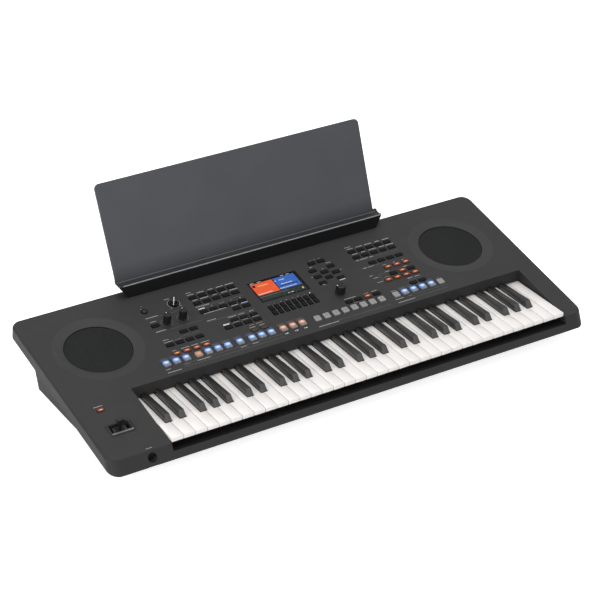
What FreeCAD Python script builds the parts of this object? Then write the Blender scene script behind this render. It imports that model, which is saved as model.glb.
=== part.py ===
import FreeCAD, Part
import os
import re
import Sketcher

# Arranger keyboard with 61 keys, loudspeakers, a sloping control panel and a lift-off music rest.
# Millimetres and degrees. X runs to the player's right, Y away from the player, Z up from the floor.
# The origin is on the floor, under the middle of the whole instrument with its music rest.

SIZES = {
    # Case: a sloping shallow tray over a deeper lower case
    "case_width": 1010,
    "case_height": 134.7,
    "panel_length": 415,
    "panel_slope": 11.42,
    "front_to_origin": 239,
    "band_depth": 25.4,
    "nose_top": 11.7,
    "nose_reach": 5.5,
    "plan_corner": 20,
    "edge_round": 4.5,
    "rim_round": 1.5,
    "shell_wall": 4,
    "panel_wall": 3,
    "shell_gap": 0.4,
    "flange_thick": 3,
    "side_inset": 32,
    "lower_wall": 3,
    "shelf_front": 22,
    "shelf_back": 66,
    "shelf_height": 29,
    "belly_front": 92,
    "rear_foot": 366,
    "rear_lean": 19,
    # Rubber feet and case screws
    "foot_height": 4.5,
    "foot_radius": 10,
    "foot_inset": 40,
    "foot_front": 112,
    "foot_back": 345,
    "screw_inset": 15,
    "screw_front": 46,
    "screw_pitch": 160,
    "screw_radius": 1.3,
    "screw_head_radius": 3.2,
    "screw_head_height": 1.8,
    "screw_length": 12,
    "boss_side": 9,
    "fit_gap": 0.2,
    # Keys and the key well
    "white_pitch": 23.4,
    "key_gap": 1,
    "key_centre": 38.5,
    "key_set_back": 14.5,
    "white_top": 62.7,
    "lip_height": 8,
    "key_length": 208,
    "wide_length": 47.5,
    "stem_set_back": 20,
    "stem_depth": 8,
    "stem_inset": 0.8,
    "key_wall": 1.8,
    "hollow_end": 16,
    "black_width": 13,
    "black_front": 49,
    "black_rise": 12,
    "black_step": 0.5,
    "black_taper": 8,
    "black_front_run": 8,
    "black_shift_small": 2.3,
    "black_shift_large": 3.4,
    "well_gap": 1.5,
    "well_back": 165.5,
    "rail_back": 5.5,
    "rail_drop": 12,
    "skirt_wall": 3,
    "fall_foot": 159,
    "fall_gap": 2.3,
    "crown_back": 157.5,
    # Keybed
    "pivot_run": 202,
    "pivot_height": 52,
    "riser_wall": 2.5,
    "notch_gap": 0.5,
    "pivot_gap": 0.3,
    "chassis_wall": 2.5,
    "chassis_front": 10,
    "chassis_lip": 37.5,
    "chassis_step": 29,
    "felt_wide": 9,
    "white_felt_run": 21,
    "white_felt_thick": 2.9,
    "black_felt_run": 58,
    "black_felt_thick": 4.3,
    "contact_run": 114,
    "contact_board_wide": 34,
    "board_thick": 1.6,
    "rubber_run": 122,
    "rubber_foot": 14,
    "rubber_crown": 8,
    "rubber_height": 5.8,
    # Panel buttons
    "button_wide": 16,
    "button_high": 8.7,
    "button_pitch": 20.35,
    "button_rise": 1.8,
    "button_skirt": 7,
    "button_gap": 0.3,
    "crown_depth": 0.7,
    "crown_taper": 40,
    "pad_side": 15,
    "pad_pitch": 20.35,
    "rocker_wide": 10.6,
    "rocker_high": 12.2,
    "rocker_pitch": 12.7,
    "rocker_column": -43,
    "rocker_row_upper": 258.6,
    "rocker_row_lower": 244.3,
    "left_column": -265.5,
    "style_column": -163.8,
    "bank_column": 102.5,
    "voice_column": 187,
    "row_top": 344.1,
    "row_second": 326.3,
    "row_third": 300.2,
    "row_fourth": 284.6,
    "row_fifth": 276,
    "row_sixth": 265.8,
    "row_seventh": 256.2,
    "row_eighth": 241.8,
    "row_ninth": 215.8,
    "row_pads": 197.9,
    "intro_column": -295.5,
    "main_column": -230,
    "break_column": -143.5,
    "ending_column": -118,
    "transport_column": -51.5,
    "registration_column": 21.5,
    "one_touch_column": 197,
    "cursor_centre": 106.1,
    "cursor_spread": 20.4,
    "cursor_rise": 19.4,
    "cursor_offset": 10.8,
    "cursor_inner_pitch": 16.8,
    "cursor_low": 284.6,
    "hold_column": -458.5,
    "hold_row": 137.2,
    "hold_wide": 14,
    "hold_high": 8.2,
    "standby_radius": 6.5,
    # Rotary controls
    "shaft_radius": 3,
    "shaft_gap": 0.4,
    "knob_lift": 0.8,
    "volume_column": -204.5,
    "volume_radius": 7,
    "volume_height": 11,
    "live_column_left": -241.5,
    "live_column_right": -208.5,
    "live_radius": 7.4,
    "live_height": 20,
    "dial_column": 101.5,
    "dial_row": 247.4,
    "dial_radius": 9.5,
    "dial_height": 17.5,
    "knob_skirt": 0.5,
    "knob_skirt_height": 0.8,
    "knob_draft": 0.8,
    "pointer_wide": 1.6,
    "pointer_depth": 0.7,
    "pointer_turn": 210,
    "dimple_radius": 1.5,
    "pot_side": 12,
    "pot_gap": 0.3,
    "shaft_reach": 1,
    # Display
    "display_centre": 2,
    "display_row": 309.1,
    "display_wide": 105,
    "display_high": 60.2,
    "window_sink": 0.2,
    "window_gap": 0.25,
    "module_margin": 6,
    "module_depth": 6,
    # Loudspeakers
    "left_speaker_x": -388,
    "right_speaker_x": 381,
    "speaker_row": 286.2,
    "dish_radius": 85,
    "grille_radius": 63,
    "mouth_radius": 58,
    "dish_depth": 4,
    "grille_seat": 6,
    "grille_thick": 1.5,
    "collar_depth": 9,
    "collar_margin": 4,
    "speaker_radius": 66,
    "speaker_depth": 39,
    "magnet_radius": 34,
    "magnet_depth": 16,
    "cone_radius": 50,
    "cone_depth": 14,
    "frame_thick": 2.5,
    # Circuit boards
    "panel_board_depth": 9,
    "board_low": 187,
    "board_top": 356,
    "left_board_left": -297.5,
    "left_board_right": -60,
    "right_board_left": -55,
    "right_board_inner": 70,
    "right_board_right": 285,
    "right_board_step": 271,
    "post_side": 6,
    "post_inset": 6,
    "post_low": 228,
    "post_high": 335.5,
    "main_board_wide": 300,
    "main_board_front": 250,
    "main_board_back": 350,
    "main_board_rise": 14,
    "rib_thick": 4,
    # Joystick
    "stick_column": -447.5,
    "stick_row": 81.6,
    "stick_wide": 48,
    "stick_high": 29.6,
    "stick_lip": 2.2,
    "stick_well_wide": 38,
    "stick_well_high": 19,
    "stick_well_back": 2.5,
    "stick_depth": 16,
    "stick_floor": 2,
    "stick_pivot": 6,
    "gimbal_wide": 26,
    "gimbal_high": 16,
    "gimbal_bore_wide": 15,
    "gimbal_bore_high": 8,
    "gimbal_thick": 5,
    "gimbal_pin": 1.4,
    "lever_pin": 1.2,
    "pin_gap": 0.1,
    "pin_bite": 2,
    "hub_radius": 3.4,
    "hub_long": 13,
    "lever_neck": 2.8,
    "lever_rise": 20,
    "lever_head_wide": 14,
    "lever_head_high": 7,
    "lever_head_thick": 5,
    # Sockets
    "plug_radius": 3.2,
    "plug_depth": 26,
    "socket_reach": 1.5,
    "socket_barrel": 5.4,
    "socket_body": 14,
    "socket_body_long": 25,
    "phones_x": -425,
    "phones_drop": 11,
    "phones_wide": 18,
    "phones_roof": 3.5,
    "phones_dish": 6.3,
    "phones_seat": 7,
    "phones_long": 36,
    "phones_depth": 24,
    "rear_row": 30,
    "rear_jack_x": -60,
    "rear_jack_pitch": 30,
    "aux_x": 75,
    "aux_radius": 1.8,
    "aux_barrel": 3.6,
    "aux_body": 9,
    "dc_x": 150,
    "dc_radius": 2.8,
    "dc_pin": 1,
    "dc_barrel": 5.5,
    "dc_body": 12,
    "small_body_long": 16,
    "device_port_x": -150,
    "host_port_x": -115,
    "device_port_wide": 8.5,
    "device_port_high": 7.8,
    "host_port_wide": 13.1,
    "host_port_high": 5.8,
    "port_wall": 0.6,
    "port_deep": 14,
    "port_long": 16,
    # Music rest
    "rest_centre": -3.4,
    "rest_wide": 585,
    "rest_panel_low": 568,
    "rest_panel_top": 574.6,
    "rest_height": 188,
    "rest_thick": 5,
    "rest_lean": 21,
    "rest_corner": 10,
    "rest_foot": 392.5,
    "rest_gap": 0.3,
    "rest_foot_thick": 6,
    "rest_taper": 18,
    "ledge_front": 389,
    "ledge_rise": 151,
    "ledge_lip": 4.5,
    "ledge_lip_wide": 2,
    "ledge_back": 405.5,
    "ledge_back_rise": 154.5,
    "tab_wide": 40,
    "tab_thick": 3.6,
    "tab_set_back": 1.5,
    "tab_drop": 6.5,
    "tab_pitch": 200,
    "slot_gap": 0.35,
}

doc = FreeCAD.newDocument("arranger_keyboard")
sheet = doc.addObject("Spreadsheet::Sheet", "Sizes")
for row, (alias, value) in enumerate(SIZES.items(), 1):
    sheet.set(f"A{row}", alias)
    sheet.set(f"B{row}", str(value))
    sheet.setAlias(f"B{row}", alias)
doc.recompute()

PARTS = []
ALIASES = re.compile(r"\b(" + "|".join(SIZES) + r")\b")

# Heights of the sloping planes where they cross the front edge line, and half of the key span
PANEL_START = "(case_height - panel_length * sin(panel_slope))"
UNDER_START = f"({PANEL_START} - band_depth / cos(panel_slope))"
RISE = "tan(panel_slope)"
KEY_HALF = "(18 * white_pitch)"
KEY_BOTTOM = "(white_top - lip_height - stem_depth)"
FLOOR = "(foot_height + lower_wall)"
TUB_WIDE = "(case_width - 2 * side_inset)"
SHELF = "(shelf_height + lower_wall)"


# Small helpers

def size(alias):
    return float(sheet.get(alias))


def bind(item, prop, text):
    item.setExpression(prop, ALIASES.sub(r"Sizes.\1", text))


def place(item, x="0", y="-front_to_origin", z="0", tilt=None):
    """Put a piece in its own frame, tilted about X where an angle is given."""
    item.Placement = FreeCAD.Placement(FreeCAD.Vector(), FreeCAD.Rotation(FreeCAD.Vector(1, 0, 0), 1))
    bind(item, "Placement.Base.x", x)
    bind(item, "Placement.Base.y", y)
    bind(item, "Placement.Base.z", z)
    bind(item, "Placement.Rotation.Angle", tilt or "0")


def body(label):
    item = doc.addObject("PartDesign::Body", label)
    item.Label = label
    item.AllowCompound = True
    PARTS.append(item)
    return item


def level_body(label, x="0"):
    """A body in the level frame: Y from the front edge line, Z from the floor."""
    item = body(label)
    place(item, x)
    return item


def panel_body(label, x="0"):
    """A body in the panel frame: Y up the slope from the front edge line, Z square to the panel."""
    item = body(label)
    place(item, x, z=PANEL_START, tilt="panel_slope")
    return item


def rear_body(label, x="0"):
    """A body on the rear wall: Y up the wall from its foot, Z inwards, 0 on the outer face."""
    item = body(label)
    place(item, x, "rear_foot - front_to_origin", "foot_height", "90 - rear_lean")
    return item


def in_panel(y, z):
    """A point of the level frame, written in the panel frame."""
    up = f"(({z}) - {PANEL_START})"
    along = f"({y}) * cos(panel_slope) + {up} * sin(panel_slope)"
    square = f"{up} * cos(panel_slope) - ({y}) * sin(panel_slope)"
    return along, square


def sketch(owner, plane="XY_Plane", height="0"):
    item = owner.newObject("Sketcher::SketchObject", owner.Label + "_sketch")
    support = [part for part in owner.Origin.OriginFeatures if part.Role == plane][0]
    item.AttachmentSupport = (support, [""])
    item.MapMode = "FlatFace"
    bind(item, "AttachmentOffset.Base.z", height)
    return item


def pin_points(item, points):
    """Hold points of a sketch, given as (geometry, point, x, y), at bound distances from its origin."""
    first = item.ConstraintCount
    pins = []
    texts = []
    for geometry, point, x, y in points:
        pins.append(Sketcher.Constraint("DistanceX", -1, 1, geometry, point, 1.0))
        pins.append(Sketcher.Constraint("DistanceY", -1, 1, geometry, point, 1.0))
        texts += [x, y]
    item.addConstraint(pins)
    for step, text in enumerate(texts):
        bind(item, f"Constraints[{first + step}]", text)


def outline(item, points):
    """A closed outline of straight edges, each corner at bound distances from the origin."""
    first = item.GeometryCount
    count = len(points)
    corners = [FreeCAD.Vector(step, step * step) for step in range(count)]
    edges = [Part.LineSegment(corners[step], corners[(step + 1) % count]) for step in range(count)]
    item.addGeometry(edges, False)
    joins = [(first + step, 2, first + (step + 1) % count, 1) for step in range(count)]
    item.addConstraint([Sketcher.Constraint("Coincident", *join) for join in joins])
    pin_points(item, [(first + step, 1, x, y) for step, (x, y) in enumerate(points)])


def rectangle(item, x, y, wide, high):
    """A rectangle by its centre and sides."""
    left = f"({x}) - ({wide}) / 2"
    right = f"({x}) + ({wide}) / 2"
    low = f"({y}) - ({high}) / 2"
    top = f"({y}) + ({high}) / 2"
    outline(item, [(left, low), (right, low), (right, top), (left, top)])


def circle(item, x, y, radius):
    shape = Part.Circle(FreeCAD.Vector(1, 1), FreeCAD.Vector(0, 0, 1), 1)
    geometry = item.addGeometry(shape, False)
    pin_points(item, [(geometry, 3, x, y)])
    index = item.addConstraint(Sketcher.Constraint("Radius", geometry, 1.0))
    bind(item, f"Constraints[{index}]", radius)


def pad(owner, profile, length, both=False, back=False, taper="0"):
    item = owner.newObject("PartDesign::Pad", owner.Label + "_pad")
    item.Profile = profile
    item.SideType = "Symmetric" if both else "One side"
    item.Reversed = back
    bind(item, "Length", length)
    bind(item, "TaperAngle", taper)
    doc.recompute()
    return item


def cut_checked(owner, item, before):
    doc.recompute()
    if owner.Shape.Volume > before - 1e-3:
        raise RuntimeError(item.Label + " removes nothing")


def pocket(owner, profile, length, both=False, back=False):
    """A cut down from its sketch, up from it with back, or to both sides of it."""
    before = owner.Shape.Volume
    item = owner.newObject("PartDesign::Pocket", owner.Label + "_pocket")
    item.Profile = profile
    item.SideType = "Symmetric" if both else "One side"
    item.Reversed = back
    bind(item, "Length", length)
    cut_checked(owner, item, before)


def revolve(owner, points, x="0", row="0", cut=False):
    """A turned form about an axis square to the XY plane, from (radius, height) points."""
    before = owner.Shape.Volume if cut else 0
    profile = sketch(owner, "XZ_Plane", f"-({row})")
    axis = Part.LineSegment(FreeCAD.Vector(0, 0), FreeCAD.Vector(0, 1))
    line = profile.addGeometry(axis, True)
    pin_points(profile, [(line, 1, x, "0"), (line, 2, x, "1")])
    outline(profile, [(f"({x}) + {radius}", height) for radius, height in points])
    kind = "PartDesign::Groove" if cut else "PartDesign::Revolution"
    item = owner.newObject(kind, owner.Label + "_turn")
    item.Profile = profile
    item.ReferenceAxis = (profile, ["Axis0"])
    item.Angle = 360
    if cut:
        cut_checked(owner, item, before)
    doc.recompute()


def dress(owner, kind, prop, text, test):
    """Round or bevel the edges of the body's last feature that pass a test."""
    doc.recompute()
    base = owner.Tip
    names = [f"Edge{number}" for number, edge in enumerate(base.Shape.Edges, 1) if test(edge)]
    item = owner.newObject("PartDesign::" + kind, owner.Label + "_" + kind.lower())
    item.Base = (base, names)
    bind(item, prop, text)
    doc.recompute()


def spans(edge, axis):
    """How far an edge reaches along one axis."""
    box = edge.BoundBox
    return {"x": box.XLength, "y": box.YLength, "z": box.ZLength}[axis]


def at_height(edge, z):
    return abs(edge.BoundBox.ZMax - z) < 1e-4 and abs(edge.BoundBox.ZMin - z) < 1e-4


# Layout of the panel: every cap as (centre x, centre up the slope, width, height)

BUTTON_ROWS = [
    ("style_buttons", "style_column", "row_top", 5),
    ("style_buttons", "style_column", "row_second", 5),
    ("song_buttons", "style_column", "row_third", 5),
    ("song_buttons", "style_column + 3 * button_pitch", "row_fourth", 2),
    ("setup_buttons", "style_column + 2 * button_pitch", "row_seventh", 3),
    ("setup_buttons", "style_column + button_pitch", "row_eighth", 4),
    ("setup_buttons", "style_column + 3 * button_pitch", "row_ninth", 2),
    ("tempo_buttons", "left_column", "row_eighth", 4),
    ("tempo_buttons", "left_column + 2 * button_pitch", "row_sixth", 2),
    ("tempo_buttons", "left_column", "row_third", 1),
    ("accompaniment_buttons", "left_column", "row_ninth", 4),
    ("registration_buttons", "bank_column", "row_ninth", 4),
    ("part_buttons", "voice_column + button_pitch", "row_eighth", 4),
    ("part_buttons", "voice_column + 2 * button_pitch", "row_seventh", 3),
    ("part_buttons", "voice_column + 2 * button_pitch", "row_fifth", 3),
    ("part_buttons", "voice_column + 3 * button_pitch", "row_ninth", 2),
    ("voice_buttons", "voice_column", "row_top", 5),
    ("voice_buttons", "voice_column", "row_second", 5),
    ("voice_buttons", "voice_column + button_pitch", "row_third", 4),
]
PAD_ROWS = [
    ("style_control_pads", "intro_column", 3),
    ("style_control_pads", "main_column", 4),
    ("style_control_pads", "break_column", 1),
    ("style_control_pads", "ending_column", 3),
    ("transport_pads", "transport_column", 3),
    ("registration_pads", "registration_column", 8),
    ("one_touch_pads", "one_touch_column", 6),
]
# The cursor cluster: side steps from its middle, and steps up from its lowest row
CURSOR_CAPS = [
    ("-cursor_spread", "0"),
    ("cursor_spread", "0"),
    ("0", "cursor_offset"),
    ("-cursor_spread", "cursor_rise"),
    ("cursor_spread", "cursor_rise"),
    ("0", "cursor_offset + cursor_inner_pitch"),
    ("-cursor_spread", "2 * cursor_rise"),
    ("cursor_spread", "2 * cursor_rise"),
    ("-cursor_spread / 2", "row_top - cursor_low"),
    ("cursor_spread / 2", "row_top - cursor_low"),
]


def layout():
    caps = {}
    for node, first, row, count in BUTTON_ROWS:
        for step in range(count):
            box = (f"{first} + {step} * button_pitch", row, "button_wide", "button_high")
            caps.setdefault(node, []).append(box)
    for node, first, count in PAD_ROWS:
        for step in range(count):
            box = (f"{first} + {step} * pad_pitch", "row_pads", "pad_side", "pad_side")
            caps.setdefault(node, []).append(box)
    for row in ("rocker_row_upper", "rocker_row_lower"):
        for step in range(8):
            box = (f"rocker_column + {step} * rocker_pitch", row, "rocker_wide", "rocker_high")
            caps.setdefault("display_rockers", []).append(box)
    for aside, above in CURSOR_CAPS:
        box = (f"cursor_centre + {aside}", f"cursor_low + {above}", "button_wide", "button_high")
        caps.setdefault("cursor_buttons", []).append(box)
    caps["hold_button"] = [("hold_column", "hold_row", "hold_wide", "hold_high")]
    return caps


CAPS = layout()
KNOBS = {
    "volume_knob": ("volume_column", "row_top", "volume_radius", "volume_height"),
    "live_knob_left": ("live_column_left", "row_third", "live_radius", "live_height"),
    "live_knob_right": ("live_column_right", "row_third", "live_radius", "live_height"),
    "data_dial": ("dial_column", "dial_row", "dial_radius", "dial_height"),
}
SPEAKERS = {"left": "left_speaker_x", "right": "right_speaker_x"}
SCREW_SPOTS = [
    (f"{side} * (case_width / 2 - screw_inset)", f"screw_front + {step} * screw_pitch")
    for side in (-1, 1)
    for step in range(3)
]
BOARD_POSTS = [
    (x, y)
    for left, right in (("left_board_left", "left_board_right"), ("right_board_inner", "right_board_right"))
    for x in (f"{left} + post_inset", f"{right} - post_inset")
    for y in ("post_low", "post_high")
]
TAB_SPOTS = [f"{step} * tab_pitch" for step in (-1, 0, 1)]


# Case shells

def build_upper_case():
    """Sloping moulded tray: nose, rounded edges, hollow inside, key well, dishes and every aperture."""
    case = panel_body("upper_case")
    side = sketch(case, "YZ_Plane")
    nose = [("nose_top", "0"), ("-nose_reach", "-band_depth")]
    tail = [("panel_length", "-band_depth"), ("panel_length", "0")]
    outline(side, nose + tail)
    pad(case, side, "case_width", both=True)
    depth = size("band_depth")
    dress(case, "Fillet", "Radius", "plan_corner", lambda edge: spans(edge, "z") > depth / 2)
    dress(case, "Fillet", "Radius", "edge_round", lambda edge: at_height(edge, 0))
    dress(case, "Fillet", "Radius", "rim_round", lambda edge: at_height(edge, -depth))

    inside = sketch(case, height="-band_depth")
    tray_outline(inside, "0")
    pocket(case, inside, "band_depth - panel_wall", back=True)

    hang_fittings(case)
    open_key_well(case)
    open_panel(case)

    for x in SPEAKERS.values():
        dish = [("0", "1"), ("dish_radius", "1"), ("dish_radius", "0"), ("grille_radius", "-dish_depth")]
        seat = [("grille_radius", "-grille_seat"), ("mouth_radius", "-grille_seat")]
        mouth = [("mouth_radius", "-collar_depth - 1"), ("0", "-collar_depth - 1")]
        revolve(case, dish + seat + mouth, x, "speaker_row", cut=True)

    notch = sketch(case, height="-band_depth - 1")
    rectangle(notch, "phones_x", "(nose_top + shell_wall - nose_reach) / 2", "phones_wide + 2 * fit_gap",
              "nose_top + shell_wall + nose_reach + 2")
    pocket(case, notch, "band_depth + 1 - phones_roof", back=True)


def tray_outline(item, gap):
    """Inside of the tray, with its corners cut to follow the rounded outside."""
    half = f"(case_width / 2 - shell_wall - {gap})"
    low = f"(nose_top + shell_wall + {gap})"
    top = f"(panel_length - shell_wall - {gap})"
    cut = "plan_corner / 2"
    left = [(f"-{half}", f"{top} - {cut}"), (f"-{half}", f"{low} + {cut}")]
    front = [(f"-{half} + {cut}", low), (f"{half} - {cut}", low)]
    right = [(half, f"{low} + {cut}"), (half, f"{top} - {cut}")]
    rear = [(f"{half} - {cut}", top), (f"-{half} + {cut}", top)]
    outline(item, left + front + right + rear)


def hang_fittings(case):
    """Speaker collars, screw bosses and board posts under the panel, and the walls of the key well."""
    collars = sketch(case, height="-collar_depth")
    for x in SPEAKERS.values():
        circle(collars, x, "speaker_row", "dish_radius + collar_margin")
    pad(case, collars, "collar_depth - panel_wall / 2")

    bosses = sketch(case, height="-band_depth + flange_thick + fit_gap")
    for x, y in SCREW_SPOTS:
        rectangle(bosses, x, y, "boss_side", "boss_side")
    pad(case, bosses, "band_depth - flange_thick - fit_gap - panel_wall / 2")
    pilots = sketch(case, height="-band_depth")
    for x, y in SCREW_SPOTS:
        circle(pilots, x, y, "screw_radius")
    pocket(case, pilots, "screw_length + 1", back=True)

    posts = sketch(case, height="-panel_board_depth")
    for x, y in BOARD_POSTS:
        rectangle(posts, x, y, "post_side", "post_side")
    pad(case, posts, "panel_board_depth - panel_wall / 2")

    walls = sketch(case, height="-band_depth + flange_thick + shell_gap")
    inner = f"({KEY_HALF} + well_gap)"
    outer = f"({inner} + skirt_wall)"
    front = "nose_top + shell_wall / 2"
    for near, far in ((f"-{outer}", f"-{inner}"), (inner, outer)):
        rectangle(walls, f"key_centre + ({near} + {far}) / 2", f"({front} + well_back) / 2",
                  "skirt_wall", f"well_back - {front}")
    pad(case, walls, "band_depth - flange_thick - shell_gap - panel_wall / 2")


def open_key_well(case):
    """The well that the keys lie in, the low rail in front of them and the wall that comes down behind."""
    wide = f"2 * ({KEY_HALF} + well_gap)"
    well = sketch(case, height="1")
    rectangle(well, "key_centre", "(rail_back + well_back) / 2", wide, "well_back - rail_back")
    pocket(case, well, "band_depth + 2")
    relief = sketch(case, height="1")
    rectangle(relief, "key_centre", "(rail_back - nose_reach) / 2", wide, "rail_back + nose_reach + 1")
    pocket(case, relief, "rail_drop + 1")
    fall = sketch(case, "YZ_Plane", "key_centre")
    outline(fall, [
        ("well_back", "-panel_wall / 2"),
        in_panel("fall_foot", "white_top + fall_gap"),
        in_panel("fall_foot + skirt_wall", "white_top + fall_gap"),
        ("well_back + skirt_wall", "-panel_wall / 2"),
    ])
    pad(case, fall, f"{wide} + 2 * skirt_wall", both=True)


def open_panel(case):
    """Apertures for the display, joystick, caps, knob shafts and the tabs of the music rest."""
    through = "panel_wall + 2"
    frames = sketch(case, height="1")
    rectangle(frames, "display_centre", "display_row",
              "display_wide + 2 * window_gap", "display_high + 2 * window_gap")
    rectangle(frames, "stick_column", "stick_row", "stick_wide + 2 * fit_gap", "stick_high + 2 * fit_gap")
    for x in TAB_SPOTS:
        x = f"rest_centre + {x}"
        low = in_panel("rest_foot + tab_set_back", f"{tab_panel_height()} - panel_wall")[0]
        top = in_panel("rest_foot + tab_set_back + tab_thick", tab_panel_height())[0]
        rectangle(frames, x, f"(({low}) + ({top})) / 2", "tab_wide + 2 * slot_gap",
                  f"({top}) - ({low}) + 2 * slot_gap")
    pocket(case, frames, through)
    for boxes in CAPS.values():
        holes = sketch(case, height="1")
        for x, y, wide, high in boxes:
            rectangle(holes, x, y, f"{wide} + 2 * button_gap", f"{high} + 2 * button_gap")
        pocket(case, holes, through)
    rounds = sketch(case, height="1")
    circle(rounds, "left_column", "row_top", "standby_radius + button_gap")
    for x, y, radius, height in KNOBS.values():
        circle(rounds, x, y, "shaft_radius + shaft_gap")
    pocket(case, rounds, through)


def tab_panel_height():
    """Height of the panel where the tabs of the music rest go in."""
    return f"({PANEL_START} + (rest_foot + tab_set_back + tab_thick / 2) * {RISE})"


def rear_crossing(inset):
    """Where a line parallel to the rear wall, set in by a distance, meets the plane under the tray."""
    lean = "tan(rear_lean)"
    foot = f"(rear_foot - ({inset}) / cos(rear_lean) + ({UNDER_START} - foot_height) * {lean})"
    y = f"({foot} / (1 - {RISE} * {lean}))"
    return y, f"({UNDER_START} + {y} * {RISE})"


def build_lower_case():
    """Flange inside the tray's rim, and a tub that drops behind the keys and is open at the rear."""
    case = panel_body("lower_case")
    flange = sketch(case, height="-band_depth")
    tray_outline(flange, "shell_gap")
    pad(case, flange, "flange_thick")

    tub = [
        in_panel("shelf_front", f"{UNDER_START} + shelf_front * {RISE}"),
        in_panel("shelf_front + lower_wall", "shelf_height"),
        in_panel("shelf_back", "shelf_height"),
        in_panel("belly_front", "foot_height"),
        in_panel("rear_foot", "foot_height"),
        in_panel(*rear_crossing("0")),
    ]
    outside = sketch(case, "YZ_Plane")
    outline(outside, tub)
    pad(case, outside, TUB_WIDE, both=True)

    hollow = [
        in_panel("shelf_front + 2 * lower_wall", "case_height"),
        in_panel("shelf_front + 2 * lower_wall", SHELF),
        in_panel("shelf_back + lower_wall / 2", SHELF),
        in_panel("belly_front + lower_wall / 2", FLOOR),
        in_panel("panel_length + plan_corner", FLOOR),
        in_panel("panel_length + plan_corner", "case_height"),
    ]
    inside = sketch(case, "YZ_Plane")
    outline(inside, hollow)
    pocket(case, inside, f"{TUB_WIDE} - 2 * lower_wall", both=True)

    ribs = sketch(case, "YZ_Plane")
    for y in ("main_board_front", "main_board_back - rib_thick"):
        rib = [(y, FLOOR), (f"{y} + rib_thick", FLOOR), (f"{y} + rib_thick", "main_board_rise"),
               (y, "main_board_rise")]
        outline(ribs, [in_panel(*point) for point in rib])
    pad(case, ribs, "main_board_wide", both=True)

    holes = sketch(case, height="-band_depth - 1")
    for x, y in SCREW_SPOTS:
        circle(holes, x, y, "screw_radius + fit_gap")
    pocket(case, holes, "flange_thick + 2", back=True)


def build_rear_panel():
    """Leaning plate that closes the tub at the rear and carries the sockets."""
    panel = level_body("rear_panel")
    side = sketch(panel, "YZ_Plane")
    foot = f"({FLOOR} + fit_gap)"
    foot_y = f"(rear_foot + ({foot} - foot_height) * tan(rear_lean))"
    outer_y, outer_z = rear_crossing("0")
    inner_y, inner_z = rear_crossing("lower_wall")
    outline(side, [
        (foot_y, foot),
        (outer_y, f"{outer_z} - fit_gap"),
        (inner_y, f"{inner_z} - fit_gap"),
        (f"{foot_y} - lower_wall / cos(rear_lean)", foot),
    ])
    pad(panel, side, f"{TUB_WIDE} - 2 * lower_wall - 2 * fit_gap", both=True)
    holes = sketch(panel, height="foot_height")
    holes.AttachmentOffset = FreeCAD.Placement(FreeCAD.Vector(), FreeCAD.Rotation(FreeCAD.Vector(1, 0, 0), 1))
    bind(holes, "AttachmentOffset.Base.y", "rear_foot")
    bind(holes, "AttachmentOffset.Base.z", "foot_height")
    bind(holes, "AttachmentOffset.Rotation.Angle", "90 - rear_lean")
    for x in REAR_JACKS:
        circle(holes, x, "rear_row", "socket_barrel + fit_gap")
    circle(holes, "aux_x", "rear_row", "aux_barrel + fit_gap")
    circle(holes, "dc_x", "rear_row", "dc_barrel + fit_gap")
    for x, wide, high in PORTS.values():
        rectangle(holes, x, "rear_row", f"{wide} + 2 * port_wall + 2 * fit_gap",
                  f"{high} + 2 * port_wall + 2 * fit_gap")
    pocket(panel, holes, "4 * lower_wall", both=True)


REAR_JACKS = [f"rear_jack_x + {step} * rear_jack_pitch" for step in range(4)]
PORTS = {
    "usb_device_port": ("device_port_x", "device_port_wide", "device_port_high"),
    "usb_host_port": ("host_port_x", "host_port_wide", "host_port_high"),
}


# Keys: each note name is one group of separate keys, an octave apart

WHITE_NOTES = ["c", "d", "e", "f", "g", "a", "b"]
BLACK_NOTES = {
    "c_sharp": "white_pitch - black_shift_small",
    "d_sharp": "2 * white_pitch + black_shift_small",
    "f_sharp": "4 * white_pitch - black_shift_large",
    "g_sharp": "5 * white_pitch",
    "a_sharp": "6 * white_pitch + black_shift_large",
}
SHARP_AFTER = {"c": "c_sharp", "d": "d_sharp", "f": "f_sharp", "g": "g_sharp", "a": "a_sharp"}
SHARP_BEFORE = {"d": "c_sharp", "e": "d_sharp", "g": "f_sharp", "a": "g_sharp", "b": "a_sharp"}
OCTAVES = 5
KEY_BACK = "key_set_back + key_length"


def octave_start(octave):
    return f"(-{KEY_HALF} + {7 * octave} * white_pitch)"


def white_edges(note, octave):
    """Left and right edges of a white key at its wide front and at its tail."""
    start = octave_start(octave)
    left = f"({start} + {WHITE_NOTES.index(note)} * white_pitch + key_gap / 2)"
    right = f"({left} + white_pitch - key_gap)"
    tail_left, tail_right = left, right
    beside = "(black_width / 2 + key_gap)"
    if note in SHARP_BEFORE:
        tail_left = f"({start} + {BLACK_NOTES[SHARP_BEFORE[note]]} + {beside})"
    if note in SHARP_AFTER and octave < OCTAVES:
        tail_right = f"({start} + {BLACK_NOTES[SHARP_AFTER[note]]} - {beside})"
    return left, right, tail_left, tail_right


def white_plan(note, octave):
    left, right, tail_left, tail_right = white_edges(note, octave)
    front, step = "key_set_back", "key_set_back + wide_length"
    plan = [(left, front), (right, front)]
    if tail_right != right:
        plan += [(right, step), (tail_right, step)]
    plan += [(tail_right, KEY_BACK), (tail_left, KEY_BACK)]
    if tail_left != left:
        plan += [(tail_left, step), (left, step)]
    return plan


def block(item, left, right, front, back):
    outline(item, [(left, front), (right, front), (right, back), (left, back)])


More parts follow.
